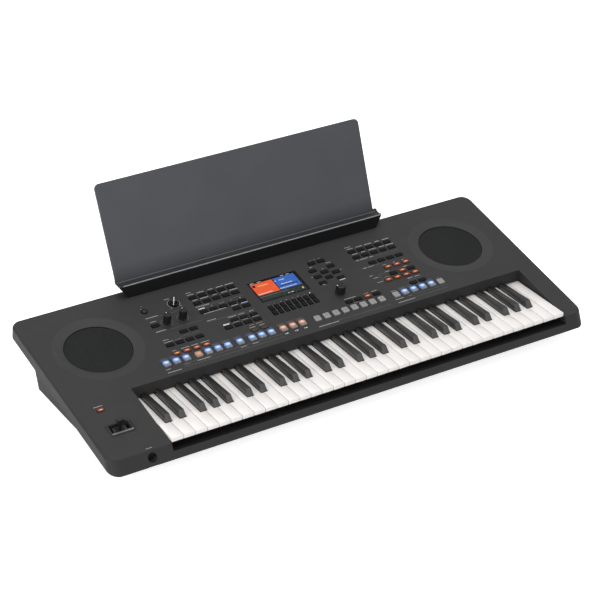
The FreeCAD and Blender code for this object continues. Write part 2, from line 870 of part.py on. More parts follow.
def cut_pivot_notch(keys):
    """Open notch under each key's tail that sits over the riser of the chassis."""
    notch = sketch(keys, "YZ_Plane")
    middle = f"({KEY_BOTTOM} + pivot_height + pivot_gap) / 2"
    tall = f"pivot_height + pivot_gap - {KEY_BOTTOM}"
    rectangle(notch, "key_set_back + pivot_run", middle, "riser_wall + 2 * notch_gap", tall)
    pocket(keys, notch, "case_width", both=True)


def build_white_keys(note):
    keys = level_body("keys_" + note, "key_centre")
    octaves = range(OCTAVES + 1 if note == "c" else OCTAVES)
    tops = sketch(keys, height="white_top - lip_height")
    for octave in octaves:
        outline(tops, white_plan(note, octave))
    pad(keys, tops, "lip_height")
    stems = sketch(keys, height=KEY_BOTTOM)
    hollows = sketch(keys, height=KEY_BOTTOM)
    stem_front = "key_set_back + stem_set_back"
    for octave in octaves:
        left, right, tail_left, tail_right = white_edges(note, octave)
        inset = ("stem_inset", "(stem_inset + key_wall)")
        block(stems, f"{tail_left} + {inset[0]}", f"{tail_right} - {inset[0]}", stem_front, KEY_BACK)
        block(hollows, f"{tail_left} + {inset[1]}", f"{tail_right} - {inset[1]}",
              f"{stem_front} + key_wall", f"{KEY_BACK} - hollow_end")
    pad(keys, stems, "stem_depth")
    pocket(keys, hollows, "stem_depth + lip_height - key_wall", back=True)
    cut_pivot_notch(keys)


def build_black_keys(note):
    keys = level_body("keys_" + note, "key_centre")
    shoulder = "white_top + black_step"
    front = "key_set_back + black_front"
    stems = sketch(keys, height=KEY_BOTTOM)
    crowns = sketch(keys, height=shoulder)
    hollows = sketch(keys, height=KEY_BOTTOM)
    for octave in range(OCTAVES):
        middle = f"({octave_start(octave)} + {BLACK_NOTES[note]})"
        half = "black_width / 2"
        core = "(black_width / 2 - 2 * key_wall)"
        block(stems, f"{middle} - {half}", f"{middle} + {half}", front, KEY_BACK)
        block(crowns, f"{middle} - {half}", f"{middle} + {half}", front, "crown_back")
        block(hollows, f"{middle} - {core}", f"{middle} + {core}", f"{front} + 2 * key_wall",
              f"{KEY_BACK} - hollow_end")
    pad(keys, stems, f"{shoulder} - {KEY_BOTTOM}")
    pad(keys, crowns, "black_rise - black_step", taper="-black_taper")
    pocket(keys, hollows, f"{shoulder} - {KEY_BOTTOM} - key_wall", back=True)
    bevel = sketch(keys, "YZ_Plane")
    top = "white_top + black_rise"
    outline(bevel, [(f"{front} - 1", shoulder), (f"{front} + black_step", shoulder),
                    (f"{front} + black_front_run", f"{top} + 1"), (f"{front} - 1", f"{top} + 1")])
    pocket(keys, bevel, "case_width", both=True)
    cut_pivot_notch(keys)


# Keybed

def build_chassis():
    """Folded chassis: a lip in front, a tray under the keys, and a riser that carries their tails."""
    chassis = level_body("keybed_chassis", "key_centre")
    side = sketch(chassis, "YZ_Plane")
    riser_front = "key_set_back + pivot_run - riser_wall / 2"
    riser_back = "key_set_back + pivot_run + riser_wall / 2"
    tray_top = f"{SHELF} + chassis_wall"
    lip_top = "chassis_lip + chassis_wall"
    outline(side, [
        ("chassis_front", "chassis_lip"),
        ("chassis_step", "chassis_lip"),
        ("chassis_step", SHELF),
        (riser_front, SHELF),
        (riser_front, FLOOR),
        (riser_back, FLOOR),
        (riser_back, "pivot_height"),
        (riser_front, "pivot_height"),
        (riser_front, tray_top),
        ("chassis_step + chassis_wall", tray_top),
        ("chassis_step + chassis_wall", lip_top),
        ("chassis_front", lip_top),
    ])
    pad(chassis, side, f"2 * {KEY_HALF}", both=True)


def build_keybed_strips():
    """Stop felts, the contact board and its rubber strips, all along the chassis tray."""
    tray_top = f"({SHELF} + chassis_wall)"
    felts = level_body("key_stop_felts", "key_centre")
    for run, thick in (("white_felt_run", "white_felt_thick"), ("black_felt_run", "black_felt_thick")):
        strip = sketch(felts, height=tray_top)
        rectangle(strip, "0", f"key_set_back + {run} + felt_wide / 2", f"2 * {KEY_HALF}", "felt_wide")
        pad(felts, strip, thick)
    board = level_body("key_contact_board", "key_centre")
    plate = sketch(board, height=tray_top)
    rectangle(plate, "0", "key_set_back + contact_run + contact_board_wide / 2",
              f"2 * {KEY_HALF} - white_pitch", "contact_board_wide")
    pad(board, plate, "board_thick")
    rubbers = level_body("key_contact_rubbers", "key_centre")
    low = f"{tray_top} + board_thick"
    middle = "key_set_back + rubber_run + rubber_foot / 2"
    ridge = [
        (f"{middle} - rubber_foot / 2", low),
        (f"{middle} + rubber_foot / 2", low),
        (f"{middle} + rubber_crown / 2", f"{low} + rubber_height"),
        (f"{middle} - rubber_crown / 2", f"{low} + rubber_height"),
    ]
    for octave in range(OCTAVES):
        strip = sketch(rubbers, "YZ_Plane", f"{octave_start(octave)} + 3.5 * white_pitch")
        outline(strip, ridge)
        pad(rubbers, strip, "6.5 * white_pitch", both=True)


# Panel controls

def build_caps(node, boxes):
    """Button caps: straight skirts through the panel, with bevelled crowns."""
    caps = panel_body(node)
    skirts = sketch(caps, height="-button_skirt")
    crowns = sketch(caps, height="button_rise - crown_depth")
    for box in boxes:
        rectangle(skirts, *box)
        rectangle(crowns, *box)
    pad(caps, skirts, "button_skirt + button_rise - crown_depth")
    pad(caps, crowns, "crown_depth", taper="-crown_taper")


def build_standby_button():
    cap = panel_body("standby_button")
    rim = "standby_radius - crown_depth"
    revolve(cap, [("0", "-button_skirt"), ("standby_radius", "-button_skirt"),
                  ("standby_radius", "button_rise - crown_depth"), (rim, "button_rise"),
                  ("0", "button_rise - crown_depth / 2")], "left_column", "row_top")


def build_knob(node, x, y, radius, height):
    """Turned knob on its shaft: the volume knob has a pointer slot over its top, the others have a dimple."""
    knob = panel_body(node)
    low = "knob_lift"
    profile = [
        ("0", "-panel_wall - shaft_reach"),
        ("shaft_radius", "-panel_wall - shaft_reach"),
        ("shaft_radius", low),
        (f"{radius} + knob_skirt", low),
        (f"{radius}", f"{low} + knob_skirt_height"),
        (f"{radius} - knob_draft", height),
        ("0", height),
    ]
    revolve(knob, profile, x, y)
    mark = sketch(knob, height=f"{height} - pointer_depth")
    if node == "volume_knob":
        ahead = (f"{radius} * sin(pointer_turn)", f"{radius} * cos(pointer_turn)")
        aside = ("pointer_wide / 2 * cos(pointer_turn)", "-pointer_wide / 2 * sin(pointer_turn)")
        corners = []
        for way, side in ((-1, -1), (-1, 1), (1, 1), (1, -1)):
            along = f"{x} + {way} * {ahead[0]} + {side} * {aside[0]}"
            across = f"{y} + {way} * {ahead[1]} + {side} * ({aside[1]})"
            corners.append((along, across))
        outline(mark, corners)
    else:
        circle(mark, x, f"{y} + {radius} / 2", "dimple_radius")
    pocket(knob, mark, "2 * pointer_depth", back=True)


def build_pots():
    """Potentiometer and encoder bodies on the boards, under the knob shafts."""
    pots = panel_body("rotary_pots")
    plan = sketch(pots, height="-panel_board_depth")
    for x, y, radius, height in KNOBS.values():
        rectangle(plan, x, y, "pot_side", "pot_side")
    pad(pots, plan, "panel_board_depth - panel_wall - shaft_reach - pot_gap")


def build_display():
    window = panel_body("display_window")
    pane = sketch(window, height="-panel_wall")
    rectangle(pane, "display_centre", "display_row", "display_wide", "display_high")
    pad(window, pane, "panel_wall - window_sink")
    module = panel_body("display_module")
    block_plan = sketch(module, height="-panel_wall - module_depth")
    rectangle(block_plan, "display_centre", "display_row",
              "display_wide + 2 * module_margin", "display_high + 2 * module_margin")
    pad(module, block_plan, "module_depth")


def build_speakers():
    """A flat grille in each dish, and two loudspeakers under the collars."""
    for side, x in SPEAKERS.items():
        grille = panel_body(side + "_speaker_grille")
        disc = sketch(grille, height="-grille_seat")
        circle(disc, x, "speaker_row", "grille_radius - fit_gap")
        pad(grille, disc, "grille_thick")
    speakers = panel_body("loudspeakers")
    back = "-collar_depth - speaker_depth"
    profile = [
        ("0", "-collar_depth - cone_depth"),
        ("cone_radius / 4", "-collar_depth - cone_depth"),
        ("cone_radius", "-collar_depth"),
        ("speaker_radius", "-collar_depth"),
        ("speaker_radius", "-collar_depth - frame_thick"),
        ("magnet_radius", f"{back} + magnet_depth"),
        ("magnet_radius", back),
        ("0", back),
    ]
    for x in SPEAKERS.values():
        revolve(speakers, profile, x, "speaker_row")


def build_boards():
    left = panel_body("left_panel_board")
    plan = sketch(left, height="-panel_board_depth - board_thick")
    block(plan, "left_board_left", "left_board_right", "board_low", "board_top")
    pad(left, plan, "board_thick")
    right = panel_body("right_panel_board")
    plan = sketch(right, height="-panel_board_depth - board_thick")
    outline(plan, [
        ("right_board_left", "board_low"),
        ("right_board_right", "board_low"),
        ("right_board_right", "board_top"),
        ("right_board_inner", "board_top"),
        ("right_board_inner", "right_board_step"),
        ("right_board_left", "right_board_step"),
    ])
    pad(right, plan, "board_thick")
    main = level_body("main_board")
    plan = sketch(main, height="main_board_rise")
    block(plan, "-main_board_wide / 2", "main_board_wide / 2", "main_board_front", "main_board_back")
    pad(main, plan, "board_thick")


# Joystick: a lipped housing, a gimbal that rocks sideways and a lever that rocks to and fro in it

STICK_ROW = "(stick_row + stick_well_back)"


def build_joystick():
    housing = panel_body("joystick_housing")
    shell = sketch(housing, height="-stick_depth")
    rectangle(shell, "stick_column", "stick_row", "stick_wide", "stick_high")
    pad(housing, shell, "stick_depth + stick_lip")
    lip = size("stick_lip")
    dress(housing, "Chamfer", "Size", "stick_lip", lambda edge: at_height(edge, lip))
    well = sketch(housing, height="stick_lip + 1")
    rectangle(well, "stick_column", STICK_ROW, "stick_well_wide", "stick_well_high")
    pocket(housing, well, "stick_lip + stick_depth - stick_floor + 1")
    sockets = sketch(housing, "XZ_Plane", f"-{STICK_ROW}")
    circle(sockets, "stick_column", "-stick_pivot", "gimbal_pin + pin_gap")
    pocket(housing, sockets, "stick_well_high + 2 * (pin_bite + pin_gap)", both=True)

    gimbal = panel_body("joystick_gimbal")
    frame = sketch(gimbal, height="-stick_pivot - gimbal_thick / 2")
    rectangle(frame, "stick_column", STICK_ROW, "gimbal_wide", "gimbal_high")
    pad(gimbal, frame, "gimbal_thick")
    pins = sketch(gimbal, "XZ_Plane", f"-{STICK_ROW}")
    circle(pins, "stick_column", "-stick_pivot", "gimbal_pin")
    pad(gimbal, pins, "stick_well_high + 2 * pin_bite", both=True)
    window = sketch(gimbal, height="-stick_pivot + gimbal_thick")
    rectangle(window, "stick_column", STICK_ROW, "gimbal_bore_wide", "gimbal_bore_high")
    pocket(gimbal, window, "2 * gimbal_thick")
    bores = sketch(gimbal, "YZ_Plane", "stick_column")
    circle(bores, STICK_ROW, "-stick_pivot", "lever_pin + pin_gap")
    pocket(gimbal, bores, "gimbal_bore_wide + 2 * (pin_bite + pin_gap)", both=True)

    lever = panel_body("joystick_lever")
    hub = sketch(lever, "YZ_Plane", "stick_column")
    circle(hub, STICK_ROW, "-stick_pivot", "hub_radius")
    pad(lever, hub, "hub_long", both=True)
    pins = sketch(lever, "YZ_Plane", "stick_column")
    circle(pins, STICK_ROW, "-stick_pivot", "lever_pin")
    pad(lever, pins, "gimbal_bore_wide + 2 * pin_bite", both=True)
    neck = sketch(lever, height="-stick_pivot")
    circle(neck, "stick_column", STICK_ROW, "lever_neck")
    pad(lever, neck, "stick_pivot + lever_rise - lever_head_thick / 2")
    head = sketch(lever, height="lever_rise - lever_head_thick")
    rectangle(head, "stick_column", STICK_ROW, "lever_head_wide", "lever_head_high")
    pad(lever, head, "lever_head_thick")
    top = size("lever_rise")
    dress(lever, "Fillet", "Radius", "lever_head_thick / 3", lambda edge: at_height(edge, top))


# Sockets

def socket(owner, spots, barrel, wide, long):
    """Barrels through the rear panel with square bodies behind it."""
    tubes = sketch(owner, height="-socket_reach")
    blocks = sketch(owner, height="lower_wall")
    for x in spots:
        circle(tubes, x, "rear_row", barrel)
        rectangle(blocks, x, "rear_row", wide, wide)
    pad(owner, tubes, "socket_reach + lower_wall")
    pad(owner, blocks, long)


def bore(owner, spots, radius, depth):
    mouths = sketch(owner, height="-socket_reach")
    for x in spots:
        circle(mouths, x, "rear_row", radius)
    pocket(owner, mouths, depth, back=True)


def build_phones_jack():
    """Block that fills the notch in the nose, flush with its slant, with a round dish and the plug's bore."""
    jack = panel_body("phones_jack")
    slant = "(nose_top + nose_reach) / band_depth"
    roof = "(phones_roof + fit_gap)"
    keel = "(band_depth - rim_round)"
    inside = "(band_depth - flange_thick - shell_gap)"
    back = "(nose_top + shell_wall)"
    side = sketch(jack, "YZ_Plane", "phones_x")
    outline(side, [
        (f"nose_top - {slant} * {roof} + fit_gap", f"-{roof}"),
        (f"nose_top - {slant} * {keel} + fit_gap", f"-{keel}"),
        (back, f"-{keel}"),
        (back, f"-{inside}"),
        ("phones_long", f"-{inside}"),
        ("phones_long", f"-{roof}"),
    ])
    pad(jack, side, "phones_wide", both=True)
    dish = sketch(jack, "XZ_Plane", "-phones_seat")
    circle(dish, "phones_x", "-phones_drop", "phones_dish")
    pocket(jack, dish, "phones_seat + nose_reach", back=True)
    hole = sketch(jack, "XZ_Plane", "-phones_seat")
    circle(hole, "phones_x", "-phones_drop", "plug_radius")
    pocket(jack, hole, "phones_depth")


def build_rear_sockets():
    jacks = rear_body("rear_jacks")
    socket(jacks, REAR_JACKS, "socket_barrel", "socket_body", "socket_body_long")
    bore(jacks, REAR_JACKS, "plug_radius", "plug_depth")
    aux = rear_body("aux_jack")
    socket(aux, ["aux_x"], "aux_barrel", "aux_body", "small_body_long")
    bore(aux, ["aux_x"], "aux_radius", "small_body_long")
    inlet = rear_body("dc_inlet")
    socket(inlet, ["dc_x"], "dc_barrel", "dc_body", "small_body_long")
    bore(inlet, ["dc_x"], "dc_radius", "small_body_long - lower_wall")
    pin = sketch(inlet)
    circle(pin, "dc_x", "rear_row", "dc_pin")
    pad(inlet, pin, "small_body_long")
    for node, (x, wide, high) in PORTS.items():
        port = rear_body(node)
        shell = sketch(port)
        rectangle(shell, x, "rear_row", f"{wide} + 2 * port_wall", f"{high} + 2 * port_wall")
        pad(port, shell, "port_long")
        mouth = sketch(port)
        rectangle(mouth, x, "rear_row", wide, high)
        pocket(port, mouth, "port_deep", back=True)


# Feet, screws and the music rest

def build_feet():
    feet = level_body("rubber_feet")
    plan = sketch(feet)
    half = "(case_width / 2 - side_inset - foot_inset)"
    for x in (f"-{half}", half):
        for y in ("foot_front", "foot_back"):
            circle(plan, x, y, "foot_radius")
    pad(feet, plan, "foot_height")


def build_screws():
    screws = panel_body("case_screws")
    heads = sketch(screws, height="-band_depth - screw_head_height")
    shanks = sketch(screws, height="-band_depth")
    for x, y in SCREW_SPOTS:
        circle(heads, x, y, "screw_head_radius")
        circle(shanks, x, y, "screw_radius - fit_gap / 4")
    pad(screws, heads, "screw_head_height")
    pad(screws, shanks, "screw_length")


def build_music_rest():
    """One moulding: foot, ledge with a lip, and a leaning panel, with tabs that drop into the case."""
    rest = level_body("music_rest", "rest_centre")
    panel_at = f"{PANEL_START} + rest_gap"
    foot_back = "rest_foot + rest_foot_thick"
    top_y = "ledge_back + rest_height * sin(rest_lean)"
    top_z = "ledge_back_rise + rest_height * cos(rest_lean)"
    thick_y = "rest_thick * cos(rest_lean)"
    thick_z = "rest_thick * sin(rest_lean)"
    lip_top = "ledge_rise + ledge_lip"
    side = sketch(rest, "YZ_Plane")
    outline(side, [
        ("rest_foot", f"{panel_at} + rest_foot * {RISE}"),
        (foot_back, f"{panel_at} + ({foot_back}) * {RISE}"),
        (f"ledge_back + {thick_y}", f"ledge_back_rise - {thick_z}"),
        (f"{top_y} + {thick_y}", f"{top_z} - {thick_z}"),
        (top_y, top_z),
        ("ledge_back", "ledge_back_rise"),
        ("ledge_front + 2 * ledge_lip_wide", "ledge_rise + ledge_lip / 2"),
        ("ledge_front + ledge_lip_wide", lip_top),
        ("ledge_front", lip_top),
        ("ledge_front", "ledge_rise"),
    ])
    pad(rest, side, "rest_wide", both=True)
    ends = sketch(rest, "XZ_Plane", "-rest_foot")
    for sign in ("-1", "1"):
        half = f"{sign} * rest_wide / 2"
        beyond = f"{half} + {sign}"
        inner = f"{sign} * (rest_wide / 2 - rest_taper)"
        low = f"{PANEL_START} + ledge_front * {RISE} - 1"
        outline(ends, [(beyond, "ledge_rise"), (half, "ledge_rise"), (inner, low), (beyond, low)])
        step = f"{lip_top} + ledge_lip_wide"
        outline(ends, [(beyond, step), (f"{sign} * rest_panel_low / 2", step),
                       (f"{sign} * rest_panel_top / 2", f"{top_z} + 1"), (beyond, f"{top_z} + 1")])
    pocket(rest, ends, "2 * rest_foot", both=True)
    reach = size("rest_thick")
    high = max(vertex.Z for vertex in rest.Shape.Vertexes)
    dress(rest, "Fillet", "Radius", "rest_corner",
          lambda edge: spans(edge, "x") < 0.2 and abs(edge.Length - reach) < 0.02
          and edge.BoundBox.ZMax > high - reach)
    tabs = sketch(rest, height=f"{tab_panel_height()} - tab_drop")
    for x in TAB_SPOTS:
        rectangle(tabs, x, "rest_foot + tab_set_back + tab_thick / 2", "tab_wide", "tab_thick")
    pad(rest, tabs, "2 * tab_drop")


build_upper_case()
build_lower_case()
build_rear_panel()
for white in WHITE_NOTES:
    build_white_keys(white)
for black in BLACK_NOTES:
    build_black_keys(black)
build_chassis()
build_keybed_strips()
for node, boxes in CAPS.items():
    build_caps(node, boxes)
build_standby_button()
for node, spec in KNOBS.items():
    build_knob(node, *spec)
build_pots()
build_display()
build_speakers()
build_boards()
build_joystick()
build_phones_jack()
build_rear_sockets()
build_feet()
build_screws()
build_music_rest()

doc.recompute()
for item in doc.Objects:
    if "Invalid" in item.State or "Error" in item.State:
        raise RuntimeError(item.Label + " failed: " + str(item.State))
for part in PARTS:
    if part.Shape.isNull() or not part.Shape.isValid() or not part.Shape.Solids:
        raise RuntimeError(part.Label + " has no valid solid")

os.makedirs("parts", exist_ok=True)
for part in PARTS:
    part.Shape.exportStep(f"parts/{part.Label}.step")
print(len(PARTS), "nodes")
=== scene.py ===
import math
import random

import bmesh
import bpy
from mathutils import Matrix, Vector


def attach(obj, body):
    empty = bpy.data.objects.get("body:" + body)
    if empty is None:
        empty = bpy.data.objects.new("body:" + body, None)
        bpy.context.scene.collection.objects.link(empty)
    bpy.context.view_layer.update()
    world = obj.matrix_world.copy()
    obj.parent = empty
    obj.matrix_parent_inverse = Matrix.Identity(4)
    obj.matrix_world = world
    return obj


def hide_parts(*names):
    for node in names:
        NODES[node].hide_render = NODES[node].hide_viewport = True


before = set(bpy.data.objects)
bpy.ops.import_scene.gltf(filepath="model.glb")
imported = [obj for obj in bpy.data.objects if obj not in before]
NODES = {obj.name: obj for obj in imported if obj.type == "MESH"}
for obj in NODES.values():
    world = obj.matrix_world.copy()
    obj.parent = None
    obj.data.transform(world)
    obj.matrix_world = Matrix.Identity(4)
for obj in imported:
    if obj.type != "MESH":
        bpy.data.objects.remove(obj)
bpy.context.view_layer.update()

# Frames in millimetres: sloping panel (u right, v up the slope, w square to it), rear wall and level case

SLOPE = math.radians(11.42)
FRONT_TO_ORIGIN = 239.0
CASE_HEIGHT = 134.7
PANEL_LENGTH = 415
PANEL_START = CASE_HEIGHT - PANEL_LENGTH * math.sin(SLOPE)
REAR_LEAN = math.radians(19)
REAR_FOOT = 366
REAR_START = 4.5
MM = Matrix.Scale(0.001, 4)
PANEL = MM @ Matrix.Translation((0, -FRONT_TO_ORIGIN, PANEL_START)) @ Matrix.Rotation(SLOPE, 4, "X")
TO_PANEL = PANEL.inverted()
REAR_AT = Matrix.Translation((0, REAR_FOOT - FRONT_TO_ORIGIN, REAR_START))
REAR = MM @ REAR_AT @ Matrix.Rotation(math.pi / 2 - REAR_LEAN, 4, "X")
TO_REAR = REAR.inverted()
LEVEL = MM @ Matrix.Translation((0, -FRONT_TO_ORIGIN, 0))


# Materials

NOISE_LOW, NOISE_HIGH = 0.3, 0.7


def new_material(name):
    material = bpy.data.materials.new(name)
    material.use_nodes = True
    return material, material.node_tree.nodes, material.node_tree.links


def shader_of(material):
    return material.node_tree.nodes["Principled BSDF"]


def noise_at(nodes, links, scale, detail):
    """Noise in the piece's own coordinates."""
    place = nodes.new("ShaderNodeTexCoord")
    noise = nodes.new("ShaderNodeTexNoise")
    noise.inputs["Scale"].default_value = scale
    noise.inputs["Detail"].default_value = detail
    links.new(place.outputs["Object"], noise.inputs["Vector"])
    return noise.outputs["Fac"]


def ramp_between(nodes, links, source, stops):
    ramp = nodes.new("ShaderNodeValToRGB")
    while len(ramp.color_ramp.elements) < len(stops):
        ramp.color_ramp.elements.new(0.5)
    for element, (at, colour) in zip(ramp.color_ramp.elements, stops):
        element.position = at
        element.color = (*colour, 1)
    links.new(source, ramp.inputs["Fac"])
    return ramp.outputs["Color"]


def shades(colour, spread):
    """Ramp from a darker to a lighter shade of a colour."""
    dark = [part * (1 - spread) for part in colour]
    light = [min(1, part * (1 + spread)) for part in colour]
    return [(NOISE_LOW, dark), (NOISE_HIGH, light)]


def scaled(nodes, links, source, low, high, start=0.0, end=1.0):
    level = nodes.new("ShaderNodeMapRange")
    level.inputs["From Min"].default_value = start
    level.inputs["From Max"].default_value = end
    level.inputs["To Min"].default_value = low
    level.inputs["To Max"].default_value = high
    links.new(source, level.inputs["Value"])
    return level.outputs["Result"]


def surface(name, colour, rough, grain=1800, bump=0.12, depth=0.00006, tone=0.08, rough_spread=0.06,
            specular=0.5, metallic=0.0):
    """Moulded or painted surface: cloudy tone, uneven gloss and a fine grain."""
    material, nodes, links = new_material(name)
    shader = shader_of(material)
    cloud = noise_at(nodes, links, scale=14, detail=3)
    links.new(ramp_between(nodes, links, cloud, shades(colour, tone)), shader.inputs["Base Color"])
    smear = noise_at(nodes, links, scale=60, detail=4)
    gloss = scaled(nodes, links, smear, rough - rough_spread, rough + rough_spread)
    links.new(gloss, shader.inputs["Roughness"])
    relief = nodes.new("ShaderNodeBump")
    relief.inputs["Strength"].default_value = bump
    relief.inputs["Distance"].default_value = depth
    links.new(noise_at(nodes, links, scale=grain, detail=1), relief.inputs["Height"])
    links.new(relief.outputs["Normal"], shader.inputs["Normal"])
    shader.inputs["Specular IOR Level"].default_value = specular
    shader.inputs["Metallic"].default_value = metallic
    return material


def shade_low(material, level, rise, least):
    """Painted shade and painted reflection: base colour darkened towards a level of the piece, for the shade
    and dark reflection where a panel meets a ledge.
    """
    nodes, links = material.node_tree.nodes, material.node_tree.links
    colour = shader_of(material).inputs["Base Color"]
    place = nodes.new("ShaderNodeTexCoord")
    parts = nodes.new("ShaderNodeSeparateXYZ")
    links.new(place.outputs["Object"], parts.inputs["Vector"])
    shade = nodes.new("ShaderNodeVectorMath")
    shade.operation = "SCALE"
    links.new(colour.links[0].from_socket, shade.inputs[0])
    tone = scaled(nodes, links, parts.outputs["Z"], least, 1.0, level, level + rise)
    links.new(tone, shade.inputs["Scale"])
    links.new(shade.outputs["Vector"], colour)


def lit_cap(name, body_colour, centre, reach, stops):
    """Glow that fades away from a spot in face coordinates: lit translucent caps with a lamp under them, and
    painted light on the panel behind the pads.
    """
    material = surface(name, body_colour, rough=0.42, grain=2500, bump=0.08, specular=0.25)
    nodes, links = material.node_tree.nodes, material.node_tree.links
    shader = shader_of(material)
    place = nodes.new("ShaderNodeUVMap")
    place.uv_map = "cap"
    spot = nodes.new("ShaderNodeMapping")
    spot.inputs["Location"].default_value = (-centre[0] / reach[0], -centre[1] / reach[1], 0)
    spot.inputs["Scale"].default_value = (1 / reach[0], 1 / reach[1], 1)
    links.new(place.outputs["UV"], spot.inputs["Vector"])
    away = nodes.new("ShaderNodeVectorMath")
    away.operation = "LENGTH"
    links.new(spot.outputs["Vector"], away.inputs[0])
    links.new(ramp_between(nodes, links, away.outputs["Value"], stops), shader.inputs["Emission Color"])
    shader.inputs["Emission Strength"].default_value = 1.0
    return material


def glow(name, colour):
    """Part of the display's picture, with a faint speckle."""
    material, nodes, links = new_material(name)
    shader = shader_of(material)
    shader.inputs["Base Color"].default_value = (0.01, 0.01, 0.01, 1)
    shader.inputs["Roughness"].default_value = 0.5
    shader.inputs["Specular IOR Level"].default_value = 0.1
    dots = noise_at(nodes, links, scale=900, detail=1)
    links.new(ramp_between(nodes, links, dots, shades(colour, spread=0.1)), shader.inputs["Emission Color"])
    shader.inputs["Emission Strength"].default_value = 1.0
    return material


def window_glass():
    """Thin clear pane that darkens the picture a little and keeps a faint reflection."""
    material, nodes, links = new_material("display_window_clear")
    shader = shader_of(material)
    shader.inputs["Base Color"].default_value = (0.01, 0.012, 0.014, 1)
    shader.inputs["Alpha"].default_value = 0.05
    shader.inputs["Specular IOR Level"].default_value = 0.1
    haze = noise_at(nodes, links, scale=300, detail=2)
    links.new(scaled(nodes, links, haze, low=0.2, high=0.3), shader.inputs["Roughness"])
    return material


def ink(name, colour, tone=0.1):
    return surface("print_" + name, colour, rough=0.55, grain=2500, bump=0.1, tone=tone)


# Looks of the case and the music rest
CASE_COLOUR = (0.023, 0.023, 0.0235)
CASE = surface("case_satin", CASE_COLOUR, rough=0.55, grain=2200, bump=0.25, tone=0.05, specular=0.16)
UNDER = surface("under_matt", (0.022, 0.022, 0.0225), rough=0.6, grain=1600, bump=0.3, specular=0.25)
REST = surface("rest_satin", (0.057, 0.0595, 0.0665), rough=0.46, grain=2200, bump=0.2, tone=0.05,
               specular=0.2)
# Painted shade: the rest's grey darkens over the lowest 27 mm above the ledge level, to half its tone at the
# ledge.
shade_low(REST, level=0.156, rise=0.027, least=0.5)
# Painted shade: darker copies of the rest's grey for its foot under the ledge and for the ledge.
REST_SKIRT_SHADE = surface("rest_skirt_painted_shade", (0.0045, 0.0045, 0.005), rough=0.6, grain=2200, bump=0.2, specular=0.1)
REST_LEDGE_SHADE = surface("rest_ledge_painted_shade", (0.02, 0.021, 0.022), rough=0.5, grain=2200, bump=0.2, specular=0.15)
# Painted highlight: a light strip along the ledge's lip, for the shine on its edge.
REST_LIP_HIGHLIGHT = surface("rest_trim", (0.34, 0.35, 0.36), rough=0.4, grain=1500, bump=0.1, tone=0.05)

# Looks of the keys
WHITE_KEY = surface("white_key_gloss", (0.735, 0.71, 0.69), rough=0.3, grain=3000, bump=0.02, tone=0.01,
                    rough_spread=0.04)
BLACK_KEY = surface("black_key_satin", (0.0065, 0.0063, 0.006), rough=0.36, grain=1500, bump=0.4, tone=0.2,
                    specular=0.28)
# Painted light: a lighter, glossier copy of the sharps' black for their sides, which face the light, and a
# lighter one for their rounded edges as painted highlights.
BLACK_KEY_LIT_SIDE = surface("black_key_side_painted_light", (0.036, 0.035, 0.034), rough=0.26, grain=1500, bump=0.15,
                         tone=0.1, specular=1.0)
BLACK_KEY_EDGE_HIGHLIGHT = surface("black_key_edge_painted_highlight", (0.04, 0.039, 0.038), rough=0.4, grain=1500, bump=0.2, tone=0.1)

# Looks of the caps, and the pads' light painted on the panel
RED_PLASTIC = (0.02, 0.006, 0.004)
SPILL_LIMIT = (0.65, (0.0, 0.0, 0.0))
DARK_CAP = surface("dark_cap_satin", (0.005, 0.005, 0.0055), rough=0.5, grain=2600, bump=0.15, specular=0.06)
GREY_CAP = surface("grey_cap_satin", (0.2, 0.2, 0.195), rough=0.5, grain=2600, bump=0.12, tone=0.05)
ORANGE_CAP = lit_cap("orange_cap_lit", RED_PLASTIC, centre=(0.54, 0.58), reach=(1.25, 0.85),
                     stops=[(0.06, (1.0, 0.5, 0.18)), (0.16, (1.0, 0.22, 0.03)), (0.28, (0.2, 0.026, 0.005)),
                            (0.42, (0.03, 0.004, 0.002))])
HOLD_CAP = lit_cap("hold_cap_lit", RED_PLASTIC, centre=(0.54, 0.42), reach=(1.25, 0.85),
                   stops=[(0.06, (1.0, 0.6, 0.5)), (0.16, (1.0, 0.22, 0.1)), (0.28, (0.2, 0.02, 0.006)),
                          (0.42, (0.03, 0.004, 0.002))])
AMBER_CAP = lit_cap("amber_cap_dim", (0.006, 0.005, 0.003), centre=(0.5, 0.55), reach=(1.0, 1.0),
                    stops=[(0.05, (0.03, 0.022, 0.006)), (0.45, (0.004, 0.003, 0.001))])
BLUE_CAP = lit_cap("blue_cap_lit", (0.14, 0.145, 0.155), centre=(0.5, 0.7), reach=(1.5, 1.0),
                   stops=[(0.08, (0.5, 0.76, 1.0)), (0.2, (0.16, 0.38, 0.86)), (0.32, (0.03, 0.1, 0.36)),
                          (0.5, (0.015, 0.02, 0.03))])
PINK_CAP = lit_cap("pink_cap_lit", (0.17, 0.145, 0.135), centre=(0.5, 0.7), reach=(1.5, 1.0),
                   stops=[(0.08, (0.68, 0.44, 0.37)), (0.2, (0.5, 0.2, 0.12)), (0.32, (0.24, 0.06, 0.02)),
                          (0.5, (0.02, 0.014, 0.01))])
PEACH_CAP = lit_cap("peach_cap_lit", (0.16, 0.12, 0.095), centre=(0.5, 0.6), reach=(1.5, 1.2),
                    stops=[(0.08, (0.42, 0.24, 0.14)), (0.25, (0.26, 0.11, 0.045)),
                           (0.5, (0.07, 0.02, 0.008))])
# Painted light: the pads' glow on the panel behind them.
BLUE_PAINTED_SPILL = lit_cap("blue_painted_spill", CASE_COLOUR, centre=(0.5, 0.2), reach=(0.8, 1.0),
                     stops=[(0.1, (0.012, 0.05, 0.2)), (0.45, (0.003, 0.012, 0.05)), SPILL_LIMIT])
PINK_PAINTED_SPILL = lit_cap("pink_painted_spill", CASE_COLOUR, centre=(0.5, 0.2), reach=(0.8, 1.0),
                     stops=[(0.1, (0.16, 0.035, 0.008)), (0.45, (0.03, 0.007, 0.002)), SPILL_LIMIT])

